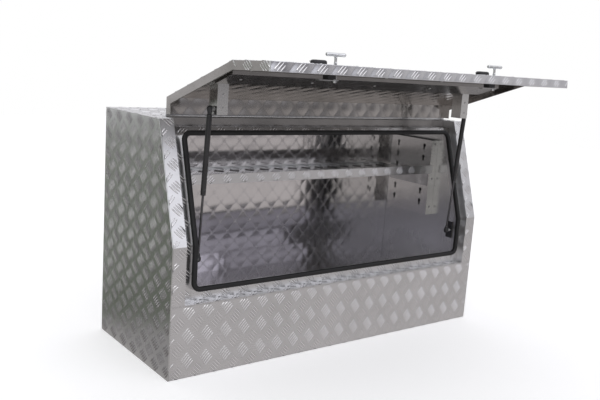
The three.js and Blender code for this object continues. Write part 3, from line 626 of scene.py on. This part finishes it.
def build_frame_tread():
    """Bars on the door frame: the face strips, the rain channels' floors, the sill and the header."""
    faces = []
    slope_up = slope_point(1, 0) - slope_point(0, 0)
    knee = slope_point(SLOPE_LENGTH, 0)
    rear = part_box("door_frame_left")[1].y
    strip = STRIP_WIDTH - SHEET
    channel = LIP_INSET - STRIP_WIDTH - SHEET / 2
    deep = CHANNEL_DEPTH - SHEET
    shorter = deep * math.tan(SLOPE / 2)
    channel_bend = slope_point(-shorter, deep)
    for _, side in SIDES:
        inner = side * (HALF - STRIP_WIDTH)
        strip_x = max(side * (HALF - SHEET), inner)
        channel_x = max(inner, side * (HALF - STRIP_WIDTH - channel))
        # Short pitch up the frame, long pitch towards -X, so that the bars face outwards.
        for x, y, z, up, run, width, phase in (
                (strip_x, FRONT, SILL_Z, Z_AXIS, BEND_Z - SILL_Z, strip, (30 * MM, 12 * MM)),
                (strip_x, FRONT, BEND_Z, slope_up, SLOPE_LENGTH, strip, (52 * MM, 12 * MM)),
                (strip_x, knee.y, HEIGHT, Y_AXIS, rear - knee.y, strip, (10 * MM, 12 * MM)),
                (channel_x, FRONT + deep, SILL_Z, Z_AXIS, BEND_Z - SILL_Z - shorter, channel,
                 (20 * MM, 26 * MM)),
                (channel_x, *channel_bend.yz, slope_up, LIP_HIGH_ALONG, channel, (8 * MM, 26 * MM))):
            faces.append(Face(Vector((x, y, z)), up, -X_AXIS, rectangle(run, width), phase))
    add_tread("tread_jambs", "box", faces)

    ledge = Face((-HALF, FRONT, SILL_Z - 0.3 * MM), X_AXIS, Y_AXIS,
                 rectangle(2 * (HALF - SHEET), deep, SHEET, 0), (40 * MM, 4 * MM))
    riser = Face((-HALF, FRONT + deep, SILL_Z), X_AXIS, Z_AXIS,
                 rectangle(2 * (HALF - LIP_INSET), LIP_LOW_Z - SILL_Z - SHEET, LIP_INSET, 0),
                 (40 * MM, 55 * MM))
    add_tread("tread_sill", "box", [ledge, riser])

    slope_top = slope_point(LIP_HIGH_ALONG, deep)
    rise = HEADER_FLOOR_Z + SHEET - slope_top.z
    header = Face((-HALF, slope_top.y, slope_top.z), X_AXIS, slope_up,
                  rectangle(2 * (HALF - STRIP_WIDTH), rise / math.cos(SLOPE), STRIP_WIDTH, 0),
                  (20 * MM, 20 * MM))
    gutter_front = slope_top.y + rise * math.tan(SLOPE)
    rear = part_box("door_frame_header")[1].y - SHEET
    gutter = Face((-HALF, gutter_front, HEADER_FLOOR_Z + SHEET), X_AXIS, Y_AXIS,
                  rectangle(2 * (HALF - STRIP_WIDTH), rear - gutter_front, STRIP_WIDTH, 0),
                  (20 * MM, 14 * MM))
    add_tread("tread_header", "box", [header, gutter])


GAP_HALF_WIDTH, GAP_HALF_HEIGHT = 87 * MM, 64 * MM


def build_lid_tread():
    """Bars on the lid's outer skin, on its front flange and on the lower strips of its ends."""
    width = 2 * LID_HALF
    slope_up = slope_point(1, 0) - slope_point(0, 0)
    # No bars under the latch plates, whose recesses go through the skin.
    plates = []
    for _, side in SIDES:
        x = LID_HALF + side * LATCH_X - PLATE_SHIFT * MM
        z = LATCH_Z - LID_BOTTOM_Z
        plates.append((x - GAP_HALF_WIDTH, z - GAP_HALF_HEIGHT, x + GAP_HALF_WIDTH, z + GAP_HALF_HEIGHT))
    flap = Face((-LID_HALF, FRONT, LID_BOTTOM_Z), X_AXIS, Z_AXIS, rectangle(width, BEND_Z - LID_BOTTOM_Z),
                (14 * MM, 34 * MM), gaps=plates)
    main = Face((-LID_HALF, FRONT, BEND_Z), X_AXIS, slope_up, rectangle(width, SLOPE_LENGTH),
                (14 * MM, 10 * MM))
    knee = slope_point(SLOPE_LENGTH, 0)
    tip = Face((-LID_HALF, knee.y, HEIGHT), X_AXIS, Y_AXIS, rectangle(width, LID_REAR_Y - knee.y - 24 * MM),
               (14 * MM, 6 * MM))
    add_tread("tread_lid", "lid", [flap, main, tip], OPENED)
    flange = Face((-LID_HALF, FRONT + LID_FLANGE, LID_BOTTOM_Z), X_AXIS, -Y_AXIS,
                  rectangle(width, LID_FLANGE), (30 * MM, 12 * MM))
    # Only the bent-over strip of the flap shows the bars: the rest of each end is smooth.
    strips = [flange]
    for _, side in SIDES:
        origin = Vector((side * LID_HALF, FRONT, LID_BOTTOM_Z + SHEET))
        outline = rectangle(LID_FLANGE, BEND_Z - LID_BOTTOM_Z - 2 * SHEET, 0 if side > 0 else -LID_FLANGE, 0)
        strips.append(Face(origin, side * Y_AXIS, Z_AXIS, outline, (12 * MM * side, 20 * MM)))
    add_tread("tread_lid_flange", "lid", strips, OPENED)


ARM_COVER = 30 * MM


def build_shelf_tread():
    low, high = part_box("shelf_tray")
    lip = Face((low.x, low.y, low.z), X_AXIS, Z_AXIS, rectangle(high.x - low.x, high.z - low.z),
               (24 * MM, 12 * MM), scale=0.6)
    # The tray's ends rest on the arms and show no bars.
    tray = Face((low.x, low.y + SHEET, low.z + SHEET), X_AXIS, Y_AXIS,
                rectangle(high.x - low.x - 2 * ARM_COVER, high.y - low.y - 3 * SHEET, ARM_COVER, 0),
                (24 * MM, 30 * MM))
    add_tread("tread_shelf", "box", [lip, tray])


build_cabinet_tread()
build_frame_tread()
build_lid_tread()
build_shelf_tread()


# ---------- rubber seal

def folded_point(x, along, deep):
    """A point of the folded front, given by its distance past the bend, up (+) or down (-), and its depth."""
    corner = deep * math.tan(SLOPE / 2)
    if along <= -corner:
        return Vector((x, FRONT + deep, BEND_Z + along))
    if along >= corner:
        return slope_point(along, deep, x)
    return Vector((x, FRONT + deep, BEND_Z - corner))


# The seal's section, half width and depth: round its bulb, in to the neck and out to the clip on the lip.
SEAL_HALF = (
    (4.0, 4.4), (6.6, 5.8), (8.4, 8.4), (9.0, 11.4), (8.2, 13.8), (6.4, 15.0), (6.0, 16.0), (6.6, 17.0),
    (6.6, 19.6), (5.8, 20.4),
)
SEAL_SECTION = (*((-across, deep) for across, deep in SEAL_HALF), *reversed(SEAL_HALF), (0.0, 4.0))
SEAL_CORNER = 24 * MM
SEAL_CORNER_STEPS = 9


def build_seal():
    """The bulb seal round the opening, bent round the corners as one extrusion."""
    half = HALF - LIP_INSET
    low = LIP_LOW_Z - BEND_Z
    high = LIP_HIGH_ALONG
    path = []
    corners = ((half, low, -90), (half, high, 0), (-half, high, 90), (-half, low, 180))
    for x, along, start in corners:
        centre = Vector((x - math.copysign(SEAL_CORNER, x), along + (SEAL_CORNER if along == low else -SEAL_CORNER)))
        for step in range(SEAL_CORNER_STEPS):
            angle = math.radians(start + 90 * step / (SEAL_CORNER_STEPS - 1))
            outward = Vector((math.cos(angle), math.sin(angle)))
            path.append((centre + SEAL_CORNER * outward, outward))
        if x > 0 and along == low or x < 0 and along == high:
            side = Vector((math.copysign(1, x), 0))
            order = (-12, -3, 3, 12) if x > 0 else (12, 3, -3, -12)
            path.extend((Vector((x, offset * MM)), side) for offset in order)
    builder = Builder()
    rings = []
    for place, outward in path:
        ring = []
        for across, deep in SEAL_SECTION:
            spot = place + outward * across * MM
            ring.append(folded_point(spot.x, spot.y, deep * MM))
        rings.append(ring)
    builder.rings(rings, loop=True)
    seal = builder.piece("rubber_seal", "box", RUBBER)
    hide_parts("door_seal")


# ---------- gas struts

TUBE_PROFILE = (
    (0.0, 16.5), (6.6, 16.5), (7.6, 17.6), (8.6, 19.2), (9.0, 21.0), (9.0, 262.0), (8.7, 263.0), (8.2, 264.2),
    (8.7, 265.4), (9.0, 266.4), (9.0, 276.0), (8.7, 277.0), (8.2, 278.2), (8.7, 279.4), (8.9, 280.6),
    (8.7, 282.4), (7.6, 283.6), (5.4, 284.0), (4.2, 283.6), (4.2, 278.0), (0.0, 278.0),
)
SOCKET_PROFILE = (
    (0.0, -10.4), (4.4, -10.0), (7.6, -8.2), (9.6, -5.2), (10.3, -1.4), (10.2, 2.4), (9.4, 5.6), (8.0, 8.4),
    (7.0, 10.6), (6.8, 15.0), (6.2, 16.4), (0.0, 16.4),
)
CLIP_RADIUS = 9.4
ROD_TOP = 272.0


def build_struts():
    """Painted tubes with crimped ends, rods, moulded ball sockets with spring clips, and their ball studs."""
    top = Vector(JOINTS["strut_left_swing"]["pos_m"])
    low_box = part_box("strut_lower_stud_left")
    low_y, low_z = ((low_box[0] + low_box[1]) / 2).yz
    length = (Vector((top.x, low_y, low_z)) - top).length / MM
    rod = ((0, ROD_TOP), (4.0, ROD_TOP), (4.0, length - 24), (3.6, length - 23.4), (3.6, length - 22),
           (5.2, length - 21.4), (5.2, length - 16.6), (3.0, length - 16), (0, length - 16))
    for name, side in SIDES:
        start = Vector((side * abs(top.x), top.y, top.z))
        end = Vector((start.x, low_y, low_z))
        down = along_axis(start, end - start) @ TO_METRES
        up = along_axis(end, start - end) @ TO_METRES
        # The piece, its body's and its node's start, its profile, place, sides, look and slot.
        for label, body, node, profile, matrix, sides, look, slot in (
                ("gas_tube", "strut_tube", "strut_tube", TUBE_PROFILE, down, 40, PAINT, "strut_black"),
                ("upper_socket", "strut_tube", "strut_upper_eye", SOCKET_PROFILE, down, 32, PLASTIC,
                 "black_plastic"),
                ("lower_socket", "strut_rod", "strut_lower_eye", SOCKET_PROFILE, up, 32, PLASTIC,
                 "black_plastic"),
                ("piston_rod", "strut_rod", "strut_rod", rod, down, 24, CHROME, "rod_chrome")):
            turned = Builder()
            turned.lathe(profile, matrix, sides)
            turned = turned.piece(f"{label}_{name}", f"{body}_{name}", look)
            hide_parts(f"{node}_{name}")
            if look is not PLASTIC:
                smooth_by_angle(turned)

        for label, centre, body, inward in (("upper", start, f"strut_tube_{name}", -side),
                                            ("lower", end, f"strut_rod_{name}", side)):
            clip = Builder()
            turn_ring(clip, along_axis(centre, inward * X_AXIS) @ TO_METRES, CLIP_RADIUS, 0.7, 4.5)
            clip.piece(f"{label}_clip_{name}", body, STEEL)

        bracket_face = side * abs(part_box(f"lid_strut_bracket_{name}")[int(side > 0)].x)
        stud = Builder()
        reach = abs(start.x - bracket_face) / MM
        outward = along_axis((bracket_face, start.y, start.z), side * X_AXIS) @ TO_METRES
        stud.lathe(((0, 0.3), (8.6, 0.3), (8.6, 1.3), (8.0, 1.6), (4.2, 1.6), (3.6, 2.2), (3.4, reach - 5),
                    (0, reach - 5)), outward, 24)
        stud.lathe(((0, 1.2), (6.6, 1.2), (7.0, 1.6), (7.0, 3.8), (6.6, 4.2), (0, 4.2)), outward, 6)
        stud = stud.piece(f"upper_ball_stud_{name}", "lid", STEEL, smooth=False)
        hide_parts(f"strut_upper_stud_{name}")


def turn_ring(builder, matrix, radius, thick, height, sides=32, section=8):
    """A wire ring about the matrix's Z axis."""
    rings = []
    for c, s in circle(sides):
        out = Vector((c, s, 0))
        rings.append([matrix @ (out * (radius + thick * wide) + Z_AXIS * (height + thick * high))
                      for wide, high in circle(section)])
    builder.rings(rings, loop=True)


# ---------- piano hinge

KNUCKLES = 45
KNUCKLE_RADIUS = 4.5
LEAF_WIDTH = 26.0
LEAF_LIFT = 0.3
LEAF_THICK = 1.5
LEAF_RIVET_PITCH = 95 * MM
LEAF_RIVET_INSET = 20 * MM


def knuckle_barrel(builder, low, high):
    """One rolled barrel of the hinge along X, with its ends broken."""
    matrix = Matrix.Translation((low, HINGE.y, HINGE.z)) @ Z_TO_X
    span = high - low
    r = KNUCKLE_RADIUS * MM
    builder.lathe(((2.1 * MM, 0), (r - 0.5 * MM, 0), (r, 0.5 * MM), (r, span - 0.5 * MM),
                   (r - 0.5 * MM, span), (2.1 * MM, span)), matrix, 18)


def leaf_strip(builder, toward):
    """A leaf's flat strip with rounded long edges, in the closed position."""
    bottom = HEIGHT + LEAF_LIFT * MM
    top = bottom + LEAF_THICK * MM
    near = HINGE.y + toward * (KNUCKLE_RADIUS - 1.5) * MM
    far = HINGE.y + toward * LEAF_WIDTH * MM
    edge = toward * 0.6 * MM
    section = [(near, bottom), (far - edge, bottom), (far, bottom + 0.5 * MM), (far, top - 0.5 * MM),
               (far - edge, top), (near, top)]
    builder.rings([[Vector((x, y, z)) for y, z in section] for x in (-LID_HALF, LID_HALF)])


def build_hinge():
    """A piano hinge: two riveted leaves whose barrels take turns on one pin."""
    pitch = 2 * LID_HALF / KNUCKLES
    for name, body, toward, first, matrix in (("body", "box", 1, 0, IDENTITY), ("lid", "lid", -1, 1, OPENED)):
        leaf = Builder()
        leaf_strip(leaf, toward)
        for i in range(first, KNUCKLES, 2):
            start = -LID_HALF + i * pitch
            knuckle_barrel(leaf, start + 0.25 * MM, start + pitch - 0.25 * MM)
        leaf.vertices = [matrix @ vertex for vertex in leaf.vertices]
        leaf = leaf.piece(f"hinge_barrels_{name}", body, STAINLESS)
        smooth_by_angle(leaf)
        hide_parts(f"hinge_leaf_{name}")

        rivets = Builder()
        y = HINGE.y + toward * (LEAF_WIDTH - 9) * MM
        z = HEIGHT + (LEAF_LIFT + LEAF_THICK) * MM
        row = 2 * (LID_HALF - LEAF_RIVET_INSET)
        count = int(row / LEAF_RIVET_PITCH)
        for i in range(count + 1):
            x = -LID_HALF + LEAF_RIVET_INSET + i * row / count
            rivet_head(rivets, matrix @ Matrix.Translation((x, y, z)), 3.4, 1.0)
        rivets.piece(f"hinge_rivets_{name}", body, STEEL)


# ---------- rivets

def rivet_head(builder, matrix, radius=4.0, rise=1.4):
    """A domed blind rivet's head with the small hole that its stem left."""
    scaled = matrix @ TO_METRES
    builder.lathe(((0, -0.3), (radius * 0.96, -0.3), (radius, 0.15), (radius * 0.9, rise * 0.5),
                   (radius * 0.66, rise * 0.86), (radius * 0.36, rise), (radius * 0.28, rise * 0.96),
                   (radius * 0.24, rise * 0.4), (0, rise * 0.35)), scaled, 16)


RACK_RIVET_INSET = 21.5 * MM
RACK_RIVET_HEIGHTS = (0.449, 0.578, 0.735)
RAIL_RIVET_PLACES = (-0.558, -0.279, 0.0, 0.279, 0.558)
RAIL_ALONG = (84 * MM, 194 * MM)
RAIL_CROWN = 15.3 * MM
RAIL_SKIN = 5.3 * MM


def build_rivets():
    """Blind rivets on the racks, the stiffening rail, the struts' brackets and the latch keepers."""
    cabinet = Builder()
    for name, side in SIDES:
        rack_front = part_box(f"shelf_rack_{name}")[0].y
        for z in RACK_RIVET_HEIGHTS:
            rivet_head(cabinet, along_axis((side * (HALF - RACK_RIVET_INSET), rack_front, z), -Y_AXIS), 4.6)
        low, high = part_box(f"latch_keeper_{name}")
        for x in (low.x + 12 * MM, high.x - 12 * MM):
            rivet_head(cabinet, along_axis((x, high.y, low.z + 18 * MM), Y_AXIS))
        low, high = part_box(f"strut_lower_bracket_{name}")
        x = side * (max(abs(low.x), abs(high.x)) - 14 * MM)
        y = FRONT + CHANNEL_DEPTH + SHEET + 0.3 * MM
        for z in (low.z + 12 * MM, high.z - 12 * MM):
            rivet_head(cabinet, along_axis((x, y, z), Y_AXIS))
    cabinet.piece("cabinet_rivets", "box", STEEL)

    lid = Builder()
    inward = slope_point(0, 1) - slope_point(0, 0)
    places = ((RAIL_ALONG[0] - 8 * MM, RAIL_SKIN, 4.6), (RAIL_ALONG[1] + 8 * MM, RAIL_SKIN, 4.6),
              (sum(RAIL_ALONG) / 2, RAIL_CROWN, 5.0))
    for x in RAIL_RIVET_PLACES:
        for along, deep, radius in places:
            rivet_head(lid, OPENED @ along_axis(slope_point(along, deep, x), inward), radius)
    for name, side in SIDES:
        low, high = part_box(f"lid_strut_bracket_{name}")
        for z in (low.z + 22 * MM, high.z - 40 * MM):
            rivet_head(lid, along_axis(((low.x + high.x) / 2, low.y, z), -Y_AXIS), 4.0)
    lid.piece("lid_rivets", "lid", STEEL)


# ---------- latches

def latch_matrix(side):
    """The latch's own frame, in millimetres: +Z out of the lid's face, X along the box, Y up the lid."""
    joint = JOINTS["latch_left_turn" if side < 0 else "latch_right_turn"]
    place = Vector(joint["pos_m"])
    turn = OPENED.to_3x3().to_4x4() @ Matrix.Rotation(math.pi / 2, 4, "X")
    return Matrix.Translation(place) @ turn @ TO_METRES


def rounded_outline(width, height, radius, steps=6):
    """Points round a rectangle with rounded corners, about its middle."""
    points = []
    for cx, cy, start in ((1, 1, 0), (-1, 1, 90), (-1, -1, 180), (1, -1, 270)):
        corner = Vector((cx * (width / 2 - radius), cy * (height / 2 - radius), 0))
        for k in range(steps + 1):
            a = math.radians(start + 90 * k / steps)
            points.append(corner + radius * Vector((math.cos(a), math.sin(a), 0)))
    return points


# The cover's skin: inset from its outline and height, from the foot over the shoulder to the crown.
COVER_SKIN = ((0.0, 2.4), (0.0, 8.0), (0.5, 10.6), (1.8, 12.6), (4.0, 13.9), (7.5, 14.5))
COVER_CENTRE = Vector((-64.0, -0.25, 0))
COVER_SIZE = (52.0, 25.5, 8.0)


def build_lock_cover(name, matrix):
    """The flap over the key barrel: a domed skin, a finger tab, and its hinge with pin and neck."""
    builder = Builder()
    rings = []
    width, height, radius = COVER_SIZE
    for inset, rise in COVER_SKIN:
        outline = rounded_outline(width - 2 * inset, height - 2 * inset, max(radius - inset * 0.6, 2.0))
        rings.append([matrix @ (point + COVER_CENTRE + Z_AXIS * rise) for point in outline])
    builder.rings(rings)
    # The finger tab at its end, tapering outwards.
    builder.rings([[matrix @ Vector((x, y, z)) for y, z in (
        (-half, 8.0), (half, 8.0), (half, 9.6), (half - 1, 10.2), (1 - half, 10.2), (-half, 9.6))]
        for x, half in ((-84.0, 7.2), (-90.0, 7.0), (-93.6, 6.4), (-95.0, 5.0))])
    hinge_y, hinge_z = 16.5, 6.5
    for low, high, r in ((-72.4, -55.6, 3.0), (-76.8, -51.2, 1.4)):
        span = high - low
        builder.lathe(((0, 0), (r - 0.4, 0), (r, 0.4), (r, span - 0.4), (r - 0.4, span), (0, span)),
                      matrix @ Matrix.Translation((low, hinge_y, hinge_z)) @ Z_TO_X, 16)
    neck = ((10.5, 5.0), (16.5, 4.6), (16.5, 8.4), (10.5, 9.4))
    builder.rings([[matrix @ Vector((x, y, z)) for y, z in neck] for x in (-72.0, -56.0)])
    cover = builder.piece(f"keyhole_cover_{name}", f"cover_{name}", PLASTIC)
    smooth_by_angle(cover)
    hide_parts(f"lock_cover_{name}")


BAR_RISE = 33.0
HANDLE_BAR_HALF = ((5.8, 6.0), (5.6, 14.0), (5.9, 26.0), (6.2, 32.0), (5.8, 35.0), (4.6, 37.0), (2.6, 38.0),
                   (0, 38.2))
HANDLE_BAR = (*((radius, -out) for radius, out in reversed(HANDLE_BAR_HALF)), *HANDLE_BAR_HALF)
HANDLE_STEM = ((0, 6.4), (4.4, 6.4), (5.2, 7.4), (4.9, 9.0), (4.5, 12.0), (4.4, 22.0), (5.0, 26.0),
               (6.2, 29.0), (6.0, 33.0), (0, 33.0))


def build_handle(name, matrix):
    """A cast T: a waisted cross bar that swells to domed ends, on a stem that flares into it."""
    builder = Builder()
    across = matrix @ Matrix.Translation((0, 0, BAR_RISE)) @ Z_TO_X
    builder.lathe(HANDLE_BAR, across, 28)
    builder.lathe(HANDLE_STEM, matrix, 28)
    tongue = rounded_outline(6.6, 8.6, 1.0, 3)
    builder.rings([[matrix @ (point + Z_AXIS * z) for point in tongue] for z in (-4.0, 8.0)])
    eye = matrix @ Matrix.Translation((-3.3, 0, -4.0)) @ Z_TO_X
    builder.lathe(((2.4, 0), (4.2, 0), (4.6, 0.4), (4.6, 6.2), (4.2, 6.6), (2.4, 6.6)), eye, 24)
    handle = builder.piece(f"t_bar_handle_{name}", f"handle_{name}", CASTING)
    merge = handle.modifiers.new("one_casting", "REMESH")
    merge.mode = "VOXEL"
    merge.voxel_size = 0.6 * MM
    merge.use_smooth_shade = True
    soften = handle.modifiers.new("soft_casting", "SMOOTH")
    soften.factor = 0.5
    soften.iterations = 5
    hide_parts(f"t_handle_{name}")


def build_latch_fittings(name, matrix):
    """The gasket round the back of the latch's plate, and the screws that hold it."""
    gasket = Builder()
    outer = rounded_outline(153, 107, 11.5)
    inner = rounded_outline(140, 94, 5)
    shift = Vector((-PLATE_SHIFT, 0, 0))
    gasket.rings([[matrix @ (point + shift + Z_AXIS * z) for point in outline]
                  for outline, z in ((outer, 0.02), (outer, 0.28), (inner, 0.28), (inner, 0.02))], loop=True)
    gasket.piece(f"plate_gasket_{name}", "lid", RUBBER, smooth=False)

    screws = Builder()
    for x, y in ((-90, -45), (-90, 45), (47, -45), (47, 45)):
        screws.lathe(((0, -0.2), (3.6, -0.2), (3.6, 0.3), (3.0, 1.1), (1.9, 1.6), (1.5, 1.6), (1.3, 0.8),
                      (0, 0.7)), matrix @ Matrix.Translation((x, y, 1.8)), 20)
    screws.piece(f"plate_screws_{name}", "lid", STEEL)


def build_latches():
    for name, side in SIDES:
        matrix = latch_matrix(side)
        build_lock_cover(name, matrix)
        build_handle(name, matrix)
        build_latch_fittings(name, matrix)


build_seal()
build_struts()
build_hinge()
build_rivets()
build_latches()


# ---------- floor, light and finish

# What the metal mirrors from the floor: in general, beside the left end, behind the box, and from a bright wedge
# behind it that the left side's bars of one direction catch.
FLOOR_MIRRORED = (0.52, 0.495, 0.495)
FLOOR_MIRRORED_LEFT = (0.33, 0.315, 0.32)
FLOOR_MIRRORED_BEHIND = (0.150, 0.160, 0.136)
FLOOR_MIRRORED_FAR = (1.7, 1.72, 1.70)
# Where they fade into each other. The wedge's edges have a slant, and fade at places past the left end.
LEFT_FADE = (HALF - 0.1, HALF + 0.1)
FRONT_FADE = (FRONT - 0.2, FRONT + 0.1)
BACK_FADE = (BACK, BACK + 0.3)
BEHIND_FADE = (0.95, 1.35)
FAR_FADE = (BACK, BACK + 1.2)
WEDGE_OUTER = (0.25, -0.14, 0.01)
WEDGE_INNER = (0.04, -0.12, 0.08)


def mirrored_floor(nodes, place):
    """What the floor looks like in the metal."""
    axes = nodes.split(place)
    leftward = nodes.math("MULTIPLY", axes["X"], -1.0)
    beside = nodes.math("MULTIPLY", nodes.smooth_step(leftward, *LEFT_FADE),
                        nodes.smooth_step(axes["Y"], *FRONT_FADE))
    behind = nodes.smooth_step(nodes.math("ADD", axes["Y"], leftward), *BEHIND_FADE)
    left_shade = nodes.mixed(behind, FLOOR_MIRRORED_LEFT, FLOOR_MIRRORED_BEHIND)
    edges = []
    for slant, start, end in (WEDGE_OUTER, WEDGE_INNER):
        slanted = nodes.math("SUBTRACT", leftward, nodes.math("MULTIPLY", axes["Y"], slant))
        edges.append(nodes.smooth_step(slanted, HALF + start, HALF + end))
    wedge = nodes.math("MULTIPLY", nodes.math("SUBTRACT", 1.0, edges[0]), edges[1])
    wedge = nodes.math("MULTIPLY", wedge, nodes.smooth_step(axes["Y"], *FAR_FADE))
    left_shade = nodes.mixed(wedge, left_shade, FLOOR_MIRRORED_FAR)
    any_side = nodes.math("MAXIMUM", beside, nodes.smooth_step(axes["Y"], *BACK_FADE))
    return nodes.mixed(any_side, FLOOR_MIRRORED, left_shade)


FLOOR_SIZE = 9.0


def build_floor():
    """A pale floor that looks mid grey where the sheet metal mirrors it, and darker behind the left end."""
    data = bpy.data.meshes.new("studio_floor")
    corners = [(x * FLOOR_SIZE, y * FLOOR_SIZE, 0) for x, y in ((-1, -1), (1, -1), (1, 1), (-1, 1))]
    data.from_pydata(corners, [], [(0, 1, 2, 3)])
    floor = add_object("studio_floor", data)
    material, nodes, inputs, place = new_material("studio_floor")
    for name, value in (("Roughness", 0.9), ("Specular IOR Level", 0.2), ("Base Color", (0.93, 0.93, 0.93, 1)),
                        ("Emission Color", (1, 1, 1, 1)), ("Emission Strength", 0.30)):
        inputs[name].default_value = value
    glow = nodes.add("Emission", Color=mirrored_floor(nodes, place))
    swap = nodes.add("MixShader")
    nodes.link(nodes.add("LightPath").outputs["Is Glossy Ray"], swap.inputs[0])
    nodes.link(material.node_tree.nodes["Principled BSDF"].outputs[0], swap.inputs[1])
    nodes.link(glow.outputs[0], swap.inputs[2])
    nodes.link(swap.outputs[0], material.node_tree.nodes["Material Output"].inputs["Surface"])
    data.materials.append(material)


HORIZON = (0.50, 0.485, 0.49)
OVERHEAD = (0.90, 0.90, 0.93)
BACKDROP = (1.0, 1.0, 1.0)
# Patches of the studio round the box: direction, full and outer half angles, and light.
STUDIO_PATCHES = (
    ((-0.95, 0.30, 0.22), 30, 48, (0.30, 0.315, 0.29)),
    ((0.05, 0.98, 0.12), 26, 42, (0.80, 0.79, 0.82)),
    ((0.95, -0.15, 0.10), 15, 35, (0.40, 0.39, 0.40)),
    ((0.30, -0.94, 0.06), 12, 36, (0.15, 0.145, 0.155)),
    ((0.38, -0.83, 0.56), 19, 31, (1.22, 1.22, 1.30)),
)


def build_world():
    """A studio that is brightest overhead and at the front right, and dimmest at the back left."""
    world = bpy.data.worlds.new("studio")
    bpy.context.scene.world = world
    world.use_nodes = True
    nodes = Nodes(world.node_tree)
    direction = nodes.add("TexCoord").outputs["Generated"]
    studio = nodes.mixed(nodes.smooth_step(nodes.split(direction)["Z"], 0.10, 0.5), HORIZON, OVERHEAD)
    for towards, full, outer, light in STUDIO_PATCHES:
        dot = nodes.add("VectorMath", operation="DOT_PRODUCT")
        nodes.feed(dot.inputs[0], direction)
        nodes.feed(dot.inputs[1], Vector(towards).normalized())
        fade = [math.cos(math.radians(angle)) for angle in (outer, full)]
        studio = nodes.mixed(nodes.smooth_step(dot.outputs["Value"], *fade), studio, light)
    seen = nodes.add("LightPath").outputs["Is Camera Ray"]
    nodes.link(nodes.mixed(seen, studio, BACKDROP), world.node_tree.nodes["Background"].inputs["Color"])
    bpy.context.scene.view_settings.view_transform = "Standard"


def add_softbox(name, place, target, size, power, colour=(1, 1, 1)):
    data = bpy.data.lights.new(name, "AREA")
    data.shape = "RECTANGLE"
    data.size, data.size_y = size
    data.energy = power
    data.color = colour
    lamp = add_object(name, data)
    lamp.matrix_world = along_axis(place, Vector(target) - Vector(place), "-Z")


# Lights behind the sill for what the sheets throw about inside the box: name, place, height, width and power.
INSIDE_FILLS = (
    ("low", -0.30, 0.050, 0.80, 0.105),
    ("middle", -0.10, 0.145, 1.20, 0.085),
    ("high", 0.0, 0.25, 1.26, 0.062),
    ("right", 0.38, 0.050, 0.50, 0.032),
)
FILL_Y = FRONT + 46 * MM
FILL_COLOUR = (0.86, 0.84, 1.0)

build_floor()
build_world()
add_softbox("key_softbox", (-2.4, -2.6, 3.2), (0, 0, 0.5), (1.8, 1.4), 14)
for label, x, z, width, watts in INSIDE_FILLS:
    add_softbox(f"inside_fill_{label}", (x, FILL_Y, z), (x, BACK, z), (width, 0.08), watts, FILL_COLOUR)
